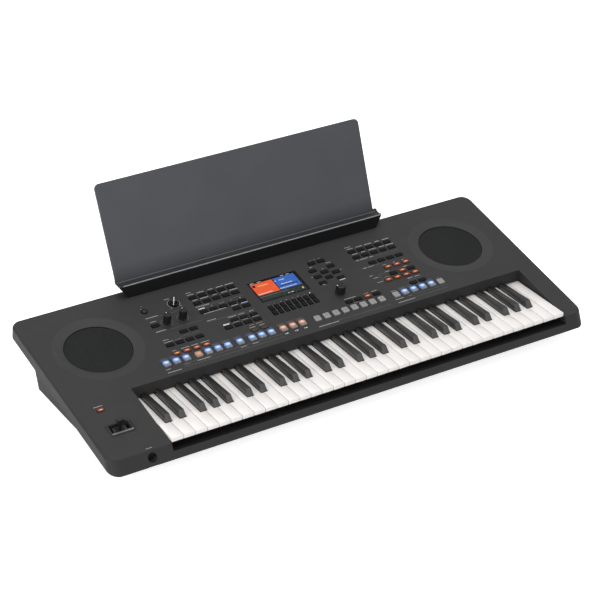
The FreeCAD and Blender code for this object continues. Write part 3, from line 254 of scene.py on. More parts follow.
# Looks of the knobs, joystick, loudspeakers and sockets
KNOB = surface("knob_satin", (0.008, 0.008, 0.009), rough=0.45, grain=2000, bump=0.2, specular=0.25)
KNOB_TOP = surface("knob_top_disc", (0.018, 0.018, 0.019), rough=0.5, grain=3000, bump=0.2, specular=0.1)
# The lever's black plastic, also used as painted shade in the joystick's well and painted shadow along its
# housing's rear and right edges.
STICK_AND_SHADE = surface("stick_satin_and_painted_shade", (0.008, 0.008, 0.009), rough=0.5, grain=2200, bump=0.2, specular=0.2)
# Painted highlight: light grey for the shine along the joystick housing's front lip and along the foot of
# the music rest's panel.
GREY_PAINTED_HIGHLIGHT = surface("stick_trim", (0.11, 0.114, 0.118), rough=0.45, grain=2200, bump=0.15, tone=0.05)
GRILLE = surface("grille_paint", (0.013, 0.0135, 0.0138), rough=0.55, grain=2600, bump=0.2, specular=0.1)
DISH = surface("dish_satin", (0.0245, 0.0245, 0.025), rough=0.5, grain=2200, bump=0.25, tone=0.05,
               specular=0.18)
# Dull black of the headphone socket's liner and ring, also used as painted shade in the gap round the
# grilles, on the step from the dishes down to the grilles and on the sharps' rear ends.
DULL_BLACK_AND_SHADE = surface("dull_black_and_painted_shade", (0.003, 0.003, 0.003), rough=0.6, grain=2600, bump=0.2, specular=0.05)
SOCKET = surface("socket_moulding", (0.008, 0.008, 0.008), rough=0.4, grain=2000, bump=0.15, specular=0.3)

# Inks
# White ink, also used for a painted highlight dot on the data dial.
WHITE_INK_AND_HIGHLIGHT = ink("white", (0.72, 0.72, 0.72), tone=0.05)
GREY_PRINT = ink("grey", (0.3, 0.3, 0.3))
FAINT_PRINT = ink("faint", (0.1, 0.1, 0.1))
AMBER_PRINT = ink("amber", (0.22, 0.16, 0.07))
BLUE_PRINT = ink("blue", (0.4, 0.5, 0.66))
DIGIT_PRINT = ink("digit", (0.05, 0.05, 0.05))

# Looks of the inner parts, feet and display
STEEL = surface("plated_steel", (0.55, 0.55, 0.54), rough=0.28, grain=900, bump=0.1, tone=0.06, metallic=1.0)
BOARD = surface("circuit_coat", (0.012, 0.09, 0.035), rough=0.4, grain=900, bump=0.3, tone=0.2)
FELT = surface("pressed_felt", (0.03, 0.03, 0.032), rough=0.95, grain=700, bump=0.8, depth=0.0004, tone=0.2)
RUBBER = surface("black_rubber", (0.014, 0.014, 0.014), rough=0.8, grain=1200, bump=0.4)
CHASSIS = surface("chassis_paint", (0.009, 0.009, 0.009), rough=0.6, grain=1200, bump=0.3, specular=0.05)
CONE = surface("speaker_cone", (0.012, 0.012, 0.012), rough=0.8, grain=800, bump=0.5)
SCREEN_BLACK = surface("screen_bezel", (0.003, 0.003, 0.004), rough=0.4, grain=2500, bump=0.02, specular=0.1)
GLASS = window_glass()

# Piece builders

WELD = 1e-6
FLAT_ANGLE = math.radians(0.3)
SMOOTH_ANGLE = math.radians(34)
ROUND_ANGLE = math.radians(25)
CORNER_STEPS = 4
SMALL_SIDES = 48


def smooth(bm):
    """Smooth shading, with a crisp edge where two faces meet steeply."""
    for face in bm.faces:
        face.smooth = True
    for edge in bm.edges:
        edge.smooth = len(edge.link_faces) == 2 and edge.calc_face_angle(0) < SMOOTH_ANGLE


def paint(faces, material_index):
    for face in faces:
        face.material_index = material_index


def finish_piece(name, bm, materials, body, replaced=()):
    bmesh.ops.recalc_face_normals(bm, faces=bm.faces)
    smooth(bm)
    mesh = bpy.data.meshes.new(name)
    bm.to_mesh(mesh)
    bm.free()
    for material in materials:
        mesh.materials.append(material)
    piece = bpy.data.objects.new(name, mesh)
    bpy.context.collection.objects.link(piece)
    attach(piece, body)
    for node in replaced:
        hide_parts(node)


def welded(node):
    """Copy of a CAD node with its corners joined."""
    bm = bmesh.new()
    bm.from_mesh(NODES[node].data)
    bmesh.ops.remove_doubles(bm, verts=bm.verts, dist=WELD)
    return bm


def islands(bm):
    """Separate solids of a mesh, as lists of vertices."""
    left = set(bm.verts)
    found = []
    while left:
        start = left.pop()
        group = [start]
        queue = [start]
        while queue:
            vert = queue.pop()
            for edge in vert.link_edges:
                other = edge.other_vert(vert)
                if other in left:
                    left.remove(other)
                    group.append(other)
                    queue.append(other)
        found.append(group)
    return found


def boxes_of(node, inverse=TO_PANEL):
    """Low and high limits in u, v and w of each solid of a node, by rows from the top, left to right."""
    bm = welded(node)
    rows = []
    for group in islands(bm):
        points = [inverse @ vert.co for vert in group]
        rows.append([limit(point[axis] for point in points) for axis in range(3) for limit in (min, max)])
    bm.free()
    return sorted(rows, key=lambda row: (-round(row[2]), row[0]))


def middle(box):
    return (box[0] + box[1]) / 2, (box[2] + box[3]) / 2


def rounded_copy(node, offset, materials, body, segments=2, least=ROUND_ANGLE, choose=None,
                 shape=None):
    """A CAD node with its edges rounded, in millimetres.

    shape bends it first, and choose gives each face its material."""
    bm = welded(node)
    bmesh.ops.dissolve_limit(bm, angle_limit=FLAT_ANGLE, verts=bm.verts, edges=bm.edges)
    if shape:
        shape(bm)
    edges = [edge for edge in bm.edges if edge.is_manifold and edge.calc_face_angle(0) > least]
    bmesh.ops.bevel(bm, geom=edges, offset=offset / 1000, segments=segments, profile=0.5, affect="EDGES",
                    clamp_overlap=True)
    bm.normal_update()
    if choose:
        for face in bm.faces:
            face.material_index = choose(face)
    finish_piece(node + "_rounded", bm, materials, body, [node])


def rounded_outline(wide, high, radius):
    """Rounded rectangle about the origin, anticlockwise."""
    points = []
    for turn, (sx, sy) in enumerate(((1, -1), (1, 1), (-1, 1), (-1, -1))):
        cx = sx * (wide / 2 - radius)
        cy = sy * (high / 2 - radius)
        for step in range(CORNER_STEPS + 1):
            angle = math.radians(-90 + 90 * turn + 90 * step / CORNER_STEPS)
            points.append((cx + radius * math.cos(angle), cy + radius * math.sin(angle)))
    return points


def raised(outline, mid, level):
    """Outline set about a point of the panel, at a height over it."""
    return [PANEL @ Vector((mid[0] + x, mid[1] + y, level)) for x, y in outline]


def panel_turned(mid, angle):
    """Frame about a point of the panel, turned on the panel's normal."""
    return PANEL @ Matrix.Translation((*mid, 0)) @ Matrix.Rotation(angle, 4, "Z")


def loft(bm, rings, closed=False):
    """Skin over rings of equal length, with end faces or, for a closed profile, joined last to first."""
    rows = [[bm.verts.new(point) for point in ring] for ring in rings]
    count = len(rows[0])
    faces = []
    for low, high in zip(rows, rows[1:] + rows[:1] if closed else rows[1:]):
        for step in range(count):
            after = (step + 1) % count
            faces.append(bm.faces.new((low[step], low[after], high[after], high[step])))
    if not closed:
        faces.append(bm.faces.new(rows[-1]))
        faces.append(bm.faces.new(rows[0][::-1]))
    return faces


def turned(bm, profile, centre, frame_of, sides=64, flutes=0, flute_depth=0.0, fluted=(), closed=False):
    """Turned form from (radius, height) points, with flutes on the named profile rows."""
    rings = []
    for row, (radius, level) in enumerate(profile):
        ring = []
        for step in range(sides):
            angle = 2 * math.pi * step / sides
            r = radius
            if row in fluted:
                r -= flute_depth * (0.5 + 0.5 * math.cos(angle * flutes))
            x = centre[0] + r * math.cos(angle)
            y = centre[1] + r * math.sin(angle)
            ring.append(frame_of @ Vector((x, y, level)))
        rings.append(ring)
    return loft(bm, rings, closed)


def prism(bm, points, w0, w1, material_index=0, frame_of=PANEL):
    """Plate over an outline."""
    faces = loft(bm, [[frame_of @ Vector((x, y, level)) for x, y in points] for level in (w0, w1)])
    paint(faces, material_index)
    return faces


def slab(bm, u0, u1, v0, v1, w0, w1, material_index=0, frame_of=PANEL):
    return prism(bm, [(u0, v0), (u1, v0), (u1, v1), (u0, v1)], w0, w1, material_index, frame_of)


# Camera, light and floor

CAMERA_AT = (-1.7541, -2.9178, 2.0322)
CAMERA_DOWN, CAMERA_TURN = 29.376, -31.164
SENSOR = 36
FOCAL_PIXELS, IMAGE_PIXELS = 2093.23, 600
LAMP_AIM = Vector((0, 0, 0.1))
WORLD_LIGHT = 0.58
FLOOR_GLOW = 0.72
FLOOR_HALF = 12
FLOOR_LEVEL = -0.0005

camera = bpy.data.objects.new("camera", bpy.data.cameras.new("camera"))
bpy.context.collection.objects.link(camera)
camera.location = CAMERA_AT
camera.rotation_euler = (math.radians(90 - CAMERA_DOWN), 0, math.radians(CAMERA_TURN))
camera.data.sensor_width = SENSOR
camera.data.lens = SENSOR * FOCAL_PIXELS / IMAGE_PIXELS
bpy.context.scene.camera = camera
bpy.context.scene.view_settings.view_transform = "Standard"


def lamp(name, place, size, power):
    """Soft box turned to the middle of the object."""
    light = bpy.data.lights.new(name, "AREA")
    light.shape = "RECTANGLE"
    light.size, light.size_y = size
    light.energy = power
    item = bpy.data.objects.new(name, light)
    bpy.context.collection.objects.link(item)
    item.location = place
    item.rotation_euler = (LAMP_AIM - Vector(place)).to_track_quat("-Z", "Y").to_euler()


lamp("top_light", place=(0.5, 0.6, 3.0), size=(3.4, 2.2), power=56)
lamp("left_light", place=(-3.0, -0.9, 1.0), size=(2.4, 1.6), power=52)
lamp("front_light", place=(-0.5, -3.2, 1.5), size=(3.0, 1.4), power=24)


def either(nodes, links, first, second):
    larger = nodes.new("ShaderNodeMath")
    larger.operation = "MAXIMUM"
    links.new(first, larger.inputs[0])
    links.new(second, larger.inputs[1])
    return larger.outputs["Value"]


def seen_rays(nodes, links):
    """1 where the camera, a reflection or a window looks, 0 for the light on surfaces."""
    rays = nodes.new("ShaderNodeLightPath").outputs
    mirror = either(nodes, links, rays["Is Glossy Ray"], rays["Is Transmission Ray"])
    return either(nodes, links, rays["Is Camera Ray"], mirror)


def studio():
    """World that looks white and lights the object at a plain level."""
    world = bpy.data.worlds.new("studio")
    bpy.context.scene.world = world
    world.use_nodes = True
    nodes, links = world.node_tree.nodes, world.node_tree.links
    background = nodes["Background"].inputs
    background["Color"].default_value = (1, 1, 1, 1)
    links.new(scaled(nodes, links, seen_rays(nodes, links), WORLD_LIGHT, 1.0), background["Strength"])


def floor():
    """Pale floor that looks white and keeps the object's shadow."""
    bm = bmesh.new()
    bmesh.ops.create_grid(bm, x_segments=1, y_segments=1, size=FLOOR_HALF)
    for vert in bm.verts:
        vert.co.z = FLOOR_LEVEL
    mesh = bpy.data.meshes.new("floor")
    bm.to_mesh(mesh)
    bm.free()
    material, nodes, links = new_material("pale_floor")
    shader = shader_of(material)
    shader.inputs["Base Color"].default_value = (0.86, 0.86, 0.86, 1)
    shader.inputs["Roughness"].default_value = 0.9
    shader.inputs["Emission Color"].default_value = (1, 1, 1, 1)
    brightness = scaled(nodes, links, seen_rays(nodes, links), 0.0, FLOOR_GLOW)
    links.new(brightness, shader.inputs["Emission Strength"])
    mesh.materials.append(material)
    item = bpy.data.objects.new("floor", mesh)
    bpy.context.collection.objects.link(item)


studio()
floor()

# Carried-over nodes

KEPT = {
    "upper_case": CASE, "lower_case": UNDER, "rear_panel": UNDER, "keybed_chassis": CHASSIS,
    "key_stop_felts": FELT, "key_contact_rubbers": RUBBER, "key_contact_board": BOARD, "main_board": BOARD,
    "left_panel_board": BOARD, "right_panel_board": BOARD, "rotary_pots": STEEL, "loudspeakers": CONE,
    "display_module": SCREEN_BLACK, "joystick_gimbal": STICK_AND_SHADE, "rear_jacks": SOCKET, "aux_jack": SOCKET,
    "dc_inlet": SOCKET, "phones_jack": CASE, "usb_device_port": STEEL, "usb_host_port": STEEL,
    "case_screws": STEEL, "rubber_feet": RUBBER,
}
for node, material in KEPT.items():
    NODES[node].data.materials.clear()
    NODES[node].data.materials.append(material)

# Keys: levels, ends and slacks of the sharps in metres, the rest in millimetres

NATURAL_ROUND, SHARP_ROUND = 1.0, 0.9
SHARP_FRONT, SHARP_REAR = -0.1681, -0.0831
SHARP_FOOT, SHARP_TOP = 0.0632, 0.0747
SHARP_FALL = 0.0035
FOOT_SLACK = 0.0002
END_SLACK = 0.0008
SIDEWAYS, SQUARE_ON = 0.85, 0.96
# Painted light on the sharps: a lighter copy of the black on the sides, painted highlights on the rounded
# edges, painted shade on the rear ends.
SHARP_LOOKS = [BLACK_KEY, BLACK_KEY_LIT_SIDE, BLACK_KEY_EDGE_HIGHLIGHT, DULL_BLACK_AND_SHADE]
FLAT_TOP, LIT_SIDE, HIGHLIT_EDGE, SHADED_REAR_END = range(4)
KEY_CENTRE, KEY_SPAN = 38.5, 842
# Apron strips as (front, rear, low, high)
APRON = ((5.8, 11.6, -14.0, -13.2), (3.8, 5.6, -12.3, -11.9))


def slope_sharp(bm):
    """Top of a sharp falling a little towards its rear end."""
    for vert in bm.verts:
        if vert.co.z > SHARP_FOOT + FOOT_SLACK:
            along = (vert.co.y - SHARP_FRONT) / (SHARP_REAR - SHARP_FRONT)
            vert.co.z -= SHARP_FALL * along * (vert.co.z - SHARP_FOOT) / (SHARP_TOP - SHARP_FOOT)


def sharp_face(face):
    """Satin top; painted light on the rest: sides in a lighter, glossier copy of the black, rounded edges in
    a lighter painted highlight, and the rear end in painted shade.
    """
    if face.calc_center_median().y > SHARP_REAR - END_SLACK:
        return SHADED_REAR_END
    if abs(face.normal.x) > SIDEWAYS:
        return LIT_SIDE
    return HIGHLIT_EDGE if max(abs(part) for part in face.normal) < SQUARE_ON else FLAT_TOP


def key_apron():
    """Black strips on the front lip of the chassis and on the rail, under the fronts of the naturals."""
    bm = bmesh.new()
    for strip in APRON:
        slab(bm, KEY_CENTRE - KEY_SPAN / 2, KEY_CENTRE + KEY_SPAN / 2, *strip)
    finish_piece("key_apron", bm, [CHASSIS], "case")


for note in "cdefgab":
    node = "keys_" + note
    rounded_copy(node, NATURAL_ROUND, [WHITE_KEY], node)
for note in "cdfga":
    node = "keys_" + note + "_sharp"
    rounded_copy(node, SHARP_ROUND, SHARP_LOOKS, node, choose=sharp_face,
                 shape=slope_sharp)
key_apron()

# Button caps

# Places in a piece's list of materials
FIRST, SECOND, THIRD = range(3)
CAP_SOFT = 0.6
ROLL_STEPS = 3
CROWN_INSET = 0.22
LEAST_RADIUS = 0.15
PAD_RADIUS = 1.6
PAD_TRIM = (1.0, 0.4)
# Numbers of the caps that differ from the others of their section
AMBER_COUNT = 2
LIT_REGISTRATION = 2
DARK_PARTS = (3, 5, 10, 11)
PEACH_PAD = 3
GREY_ONE_TOUCH = (0, 5)
SPILL_SIDE, SPILL_START, SPILL_END = 1.0, 0.5, 9.0
SPILL_FOOT, SPILL_TOP = -0.05, 0.06


def place_cap_coordinates(bm, faces, box):
    """Face coordinates from 0 to 1 over a box in the panel frame."""
    u0, u1, v0, v1 = box[:4]
    layer = bm.loops.layers.uv.get("cap") or bm.loops.layers.uv.new("cap")
    for face in faces:
        for corner in face.loops:
            spot = TO_PANEL @ corner.vert.co
            corner[layer].uv = ((spot.x - u0) / (u1 - u0), (spot.y - v0) / (v1 - v0))


def add_cap(bm, box, radius, material_index):
    """Button cap with rounded corners and a rolled top edge."""
    u0, u1, v0, v1, w0, w1 = box
    wide, high = u1 - u0, v1 - v0
    shoulder = w1 - CAP_SOFT
    levels = [(0, w0), (0, shoulder)]
    for step in range(1, ROLL_STEPS + 1):
        angle = math.pi / 2 * step / ROLL_STEPS
        levels.append((CAP_SOFT * (1 - math.cos(angle)), shoulder + CAP_SOFT * math.sin(angle)))
    levels.append((CAP_SOFT + min(wide, high) * CROWN_INSET, w1))
    rings = []
    for inset, level in levels:
        outline = rounded_outline(wide - 2 * inset, high - 2 * inset, max(LEAST_RADIUS, radius - inset))
        rings.append(raised(outline, middle(box), level))
    faces = loft(bm, rings)
    place_cap_coordinates(bm, faces, box)
    paint(faces, material_index)


def only_first(number):
    return FIRST


def caps(node, materials, choose=only_first, radius=1.3, trim=(0.4, 0.2)):
    """Caps on the buttons of a section, trimmed by the play in their openings.

    choose gives each cap its material."""
    bm = bmesh.new()
    for number, (u0, u1, v0, v1, w0, w1) in enumerate(boxes_of(node)):
        box = (u0 + trim[0], u1 - trim[0], v0 + trim[1], v1 - trim[1], w0, w1)
        add_cap(bm, box, radius, choose(number))
    finish_piece(node + "_caps", bm, materials, node, [node])


def lamp_spill(node, material, unlit=()):
    """Thin glowing strips behind the lit pads: painted light of the pads' lamps on the panel."""
    bm = bmesh.new()
    for number, box in enumerate(boxes_of(node)):
        if number not in unlit:
            left, right, _, back = box[:4]
            strip = (left - SPILL_SIDE, right + SPILL_SIDE, back + SPILL_START, back + SPILL_END)
            place_cap_coordinates(bm, slab(bm, *strip, SPILL_FOOT, SPILL_TOP), strip)
    finish_piece(node + "_spill", bm, [material], "case")


def standby():
    """Round button with a dished black rim and a grey middle."""
    box = boxes_of("standby_button")[0]
    mid = middle(box)
    w0, w1 = box[4:]
    r = (box[1] - box[0]) / 2
    bm = bmesh.new()
    rim = [(r, w0), (r, w1 - 0.7), (r - 0.2, w1 - 0.2), (r - 0.7, w1), (r * 0.6, w1 - 0.15),
           (r * 0.2, w1 - 0.3)]
    turned(bm, rim, mid, PANEL, sides=SMALL_SIDES)
    disc = [(r * 0.62, w1 - 0.4), (r * 0.62, w1 - 0.1), (r * 0.5, w1), (r * 0.2, w1)]
    paint(turned(bm, disc, mid, PANEL, sides=SMALL_SIDES), SECOND)
    finish_piece("standby_button_cap", bm, [DARK_CAP, CASE], "standby_button",
                 ["standby_button"])


for node in ("style_buttons", "song_buttons", "tempo_buttons", "voice_buttons", "cursor_buttons"):
    caps(node, [DARK_CAP])
caps("display_rockers", [DARK_CAP], radius=1.0, trim=(1.0, 0.2))
first_amber = len(boxes_of("setup_buttons")) - AMBER_COUNT
caps("setup_buttons", [DARK_CAP, AMBER_CAP],
     lambda number: SECOND if number >= first_amber else FIRST)
caps("registration_buttons", [DARK_CAP, ORANGE_CAP],
     lambda number: SECOND if number == LIT_REGISTRATION else FIRST)
caps("accompaniment_buttons", [ORANGE_CAP])
caps("hold_button", [HOLD_CAP])
caps("part_buttons", [DARK_CAP, ORANGE_CAP],
     lambda number: FIRST if number in DARK_PARTS else SECOND)
caps("transport_pads", [PINK_CAP], radius=PAD_RADIUS, trim=PAD_TRIM)
caps("style_control_pads", [GREY_CAP, BLUE_CAP, PEACH_CAP],
     lambda number: THIRD if number == PEACH_PAD else SECOND, radius=PAD_RADIUS, trim=PAD_TRIM)
caps("one_touch_pads", [GREY_CAP, BLUE_CAP],
     lambda number: FIRST if number in GREY_ONE_TOUCH else SECOND, radius=PAD_RADIUS, trim=PAD_TRIM)
caps("registration_pads", [GREY_CAP], radius=PAD_RADIUS, trim=PAD_TRIM)
lamp_spill("style_control_pads", BLUE_PAINTED_SPILL, unlit=(PEACH_PAD,))
lamp_spill("one_touch_pads", BLUE_PAINTED_SPILL, unlit=GREY_ONE_TOUCH)
lamp_spill("transport_pads", PINK_PAINTED_SPILL)
standby()

# Knobs

SHAFT = 3.0
KNOB_LIFT = 0.8
KNOB_LIP = 0.5
FLUTE_STEPS = 6
FLUTED_ROWS = (4, 5)
POINTER_TURN = math.radians(210)
POINTER_HALF = 0.65
DOT_SIDES = 20
DOT_INSET = 2.2
# Inset of the top disc, radius of the dot on it and the dot's angle; the data dial's dot is a painted
# highlight near its upper-left rim
KNOB_TOPS = {"dot": (0.7, 0.9, math.radians(90)), "disc": (1.9, 1.2, math.radians(165))}


def knob(node, flutes, flute_depth, mark):
    """Ribbed knob on its shaft, with a pointer line, or a disc and a dot on its top: a printed mark on the
    live knobs, a painted highlight on the data dial.
    """
    box = boxes_of(node)[0]
    mid = middle(box)
    w0, w1 = box[4:]
    foot = (box[1] - box[0]) / 2
    r = foot - KNOB_LIP
    bm = bmesh.new()
    profile = [(SHAFT, w0), (SHAFT, KNOB_LIFT), (foot, KNOB_LIFT), (foot, 1.4), (r, 1.7),
               (r - 0.3, w1 - 2.0), (r - 0.5, w1 - 0.8), (r - 0.9, w1 - 0.2), (r - 1.4, w1),
               (r * 0.3, w1 - 0.05)]
    turned(bm, profile, mid, PANEL, sides=flutes * FLUTE_STEPS, flutes=flutes, flute_depth=flute_depth,
           fluted=FLUTED_ROWS)
    top = KNOB
    if mark == "pointer":
        turn = panel_turned(mid, -POINTER_TURN)
        slab(bm, -POINTER_HALF, POINTER_HALF, 1.2 - r, r - 0.9, w1 - 0.4, w1 + 0.05, SECOND, turn)
        slab(bm, -POINTER_HALF, POINTER_HALF, r - 1.2, r + 0.15, 2.0, w1 - 0.2, SECOND, turn)
    else:
        inset, dot, angle = KNOB_TOPS[mark]
        disc = r - inset
        plate = [(disc, w1 - 0.4), (disc, w1), (disc - 0.3, w1 + 0.06), (disc * 0.3, w1 + 0.03)]
        paint(turned(bm, plate, mid, PANEL, sides=SMALL_SIDES), THIRD)
        # Dot near the rim of the top: a printed mark on the live knobs, a painted highlight on the data
        # dial.
        out = r - DOT_INSET
        spot = (mid[0] + out * math.cos(angle), mid[1] + out * math.sin(angle))
        stud = [(dot, w1 - 0.2), (dot, w1 + 0.08), (dot * 0.6, w1 + 0.12)]
        paint(turned(bm, stud, spot, PANEL, sides=DOT_SIDES), SECOND)
        top = KNOB_TOP
    finish_piece(node + "_turned", bm, [KNOB, WHITE_INK_AND_HIGHLIGHT, top], node, [node])


knob("volume_knob", flutes=20, flute_depth=0.4, mark="pointer")
knob("live_knob_left", flutes=16, flute_depth=0.5, mark="dot")
knob("live_knob_right", flutes=16, flute_depth=0.5, mark="dot")
knob("data_dial", flutes=28, flute_depth=0.4, mark="disc")

# Loudspeaker grilles: a hexagonal field of holes inside a rolled rim, and the satin dish round it, with
# painted shade where rim and dish meet

SPEAKER_COLUMNS = {"left": -388.0, "right": 381.0}
SPEAKER_ROW = 286.2
DISH_SIDES = 96
DISH_INNER, DISH_OUTER = 63.1, 84.6
GRILLE_OUTER, GRILLE_TOP, GRILLE_THICK = 62.8, -4.5, 1.0
RIM_WIDE = 2.6
RIM_SHADE_ROWS = 3
HOLE_PITCH, HOLE_RADIUS = 2.4, 0.72
SPARE_ROWS = 8


def hexagon(x, y, radius):
    angles = [math.radians(30 + 60 * k) for k in range(6)]
    return [(x + radius * math.cos(angle), y + radius * math.sin(angle)) for angle in angles]


def hole_field(bm):
    """Flat sheet of hexagons about the origin, each with a hole."""
    corners = {}

    def corner(x, y):
        key = (round(x, 3), round(y, 3))
        if key not in corners:
            corners[key] = bm.verts.new((x, y, 0))
        return corners[key]

    cell = HOLE_PITCH / math.sqrt(3)
    reach = int(GRILLE_OUTER / HOLE_PITCH) + SPARE_ROWS
    for row in range(-reach, reach + 1):
        for column in range(-reach, reach + 1):
            x = HOLE_PITCH * (column + 0.5 * (row % 2))
            y = 1.5 * cell * row
            if math.hypot(x, y) > GRILLE_OUTER - RIM_WIDE:
                continue
            rim = [corner(*point) for point in hexagon(x, y, cell)]
            mouth = [bm.verts.new((*point, 0)) for point in hexagon(x, y, HOLE_RADIUS)]
            for k in range(6):
                after = (k + 1) % 6
                bm.faces.new((rim[k], rim[after], mouth[after], mouth[k]))


def grille(side, u, v):
    node = side + "_speaker_grille"
    outer, top = GRILLE_OUTER, GRILLE_TOP
    bm = bmesh.new()
    hole_field(bm)
    sheet = bmesh.ops.extrude_face_region(bm, geom=list(bm.faces))
    for item in sheet["geom"]:
        if isinstance(item, bmesh.types.BMVert):
            item.co.z = GRILLE_THICK
    for vert in bm.verts:
        vert.co = PANEL @ Vector((u + vert.co.x, v + vert.co.y, top - GRILLE_THICK + vert.co.z))
    rim = [(outer, top - 1.5), (outer, top - 0.3), (outer - 0.4, top + 0.1), (outer - 1.2, top + 0.25),
           (outer - RIM_WIDE, top + 0.1), (outer - 3.0, top - 0.1), (outer - 3.0, top - 1.2),
           (outer - 0.6, top - 1.5)]
    faces = turned(bm, rim, (u, v), PANEL, sides=DISH_SIDES, closed=True)
    # Painted shade: the rim's outer rows in dull black, for the shadow in the gap next to the dish.
    paint(faces[:RIM_SHADE_ROWS * DISH_SIDES], SECOND)
    finish_piece(node + "_mesh", bm, [GRILLE, DULL_BLACK_AND_SHADE], "case", [node])


def dish_ring(side, u, v):
    """Satin facing of a loudspeaker dish, rolled out to the panel, with painted shade on the step down to
    the grille.
    """
    profile = [(DISH_INNER, -4.3), (DISH_INNER, -3.0), (63.6, -2.75), (66.0, -2.25), (70.0, -1.55),
               (75.0, -0.85), (80.0, -0.3), (DISH_OUTER, -0.02), (DISH_OUTER, -0.25)]
    bm = bmesh.new()
    faces = turned(bm, profile, (u, v), PANEL, sides=DISH_SIDES, closed=True)
    paint(faces[:DISH_SIDES], SECOND)
    finish_piece(side + "_dish_ring", bm, [DISH, DULL_BLACK_AND_SHADE], "case")


for side, column in SPEAKER_COLUMNS.items():
    grille(side, column, SPEAKER_ROW)
    dish_ring(side, column, SPEAKER_ROW)

# Display: window, and the picture on the module behind it

BACK, ORANGE, BLUE, DEEP_BLUE, STRIP, TEXT, GOLD, OLIVE = range(8)
SCREEN_COLOURS = {
    "orange": (0.86, 0.105, 0.022), "blue": (0.03, 0.13, 0.52), "deep_blue": (0.006, 0.02, 0.12),
    "strip": (0.012, 0.024, 0.018), "text": (0.7, 0.74, 0.78), "gold": (0.9, 0.55, 0.2),
    "olive": (0.16, 0.2, 0.14),
}
PANE_RADIUS = 1.0
# Inset and depth of each ring of the pane
PANE_RINGS = ((0, 0.9), (0, 0.2), (0.2, 0))
# Depth of the picture behind the pane, and its shift, as it is placed by how it looks through the pane
PICTURE_DEPTH = 1.2
PICTURE_SHIFT = (0.7, 1.0)
BACK_FOOT, PATCH_FOOT = 0.01, 0.02
LAYER_STEP = 0.04
FIELD, OVERLAY = 1, 2
# Strokes of a word: range of widths, gap, and range of shares of the row's height
LETTER = (1.2, 2.4)
LETTER_GAP = 0.7
LETTER_HEIGHT = (0.75, 1.0)


def display_pane(box):
    u0, u1, v0, v1, _, top = box
    rings = []
    for inset, depth in PANE_RINGS:
        outline = rounded_outline(u1 - u0 - 2 * inset, v1 - v0 - 2 * inset, PANE_RADIUS)
        rings.append(raised(outline, middle(box), top - depth))
    bm = bmesh.new()
    loft(bm, rings)
    finish_piece("display_pane", bm, [GLASS], "case", ["display_window"])


def display_picture(box):
    """Coloured fields and rows of strokes, as thin plates in panel millimetres."""
    u0, u1, v0, v1, w0, w1 = box
    back = w1 - PICTURE_DEPTH
    bm = bmesh.new()
    rng = random.Random(5)

    def patch(first, last, low, tall, layer, colour):
        left = first + PICTURE_SHIFT[0]
        right = last + PICTURE_SHIFT[0]
        bottom = low + PICTURE_SHIFT[1]
        slab(bm, left, right, bottom, bottom + tall, w0 + PATCH_FOOT, back + LAYER_STEP * layer, colour)

    def text(first, last, row, tall, colour):
        at = first
        while at < last:
            step = rng.uniform(*LETTER)
            height = tall * rng.uniform(*LETTER_HEIGHT)
            patch(at, min(at + step, last), row - tall / 2, height, OVERLAY, colour)
            at += step + LETTER_GAP

    slab(bm, u0, u1, v0, v1, w0 + BACK_FOOT, back)
    patch(-47, 0, 299, 35, FIELD, ORANGE)
    patch(2, 48, 299, 35, FIELD, BLUE)
    patch(-47, 50, 283, 14, FIELD, STRIP)
    for first, last in ((-45, -38), (-30, -22), (21, 27), (33, 40)):
        text(first, last, 336.4, 1.6, TEXT)
    patch(-45, -39, 324, 6, OVERLAY, BACK)
    text(-35, -12, 325, 2.6, GOLD)
    text(-45, -15, 303, 2.4, TEXT)
    text(3, 6, 326, 2.4, TEXT)
    text(12, 24, 326, 2.4, TEXT)
    text(10, 35, 314, 2.4, TEXT)
    patch(5, 45, 307.6, 2.6, OVERLAY, DEEP_BLUE)
    text(2, 38, 303, 2.2, TEXT)
    patch(-47, 15, 293.5, 1.0, OVERLAY, OLIVE)
    text(10, 14, 286, 2.0, TEXT)
    text(17, 22, 286, 2.0, TEXT)
    patch(42.5, 45.5, 286.5, 5, OVERLAY, GOLD)
    looks = [SCREEN_BLACK] + [glow("screen_" + name, colour) for name, colour in SCREEN_COLOURS.items()]
    finish_piece("display_picture", bm, looks, "case")


display_box = boxes_of("display_window")[0]
display_pane(display_box)
display_picture(display_box)

# Printed legends: each word is a row of small strokes on the panel, as (row, height, ink, spans)

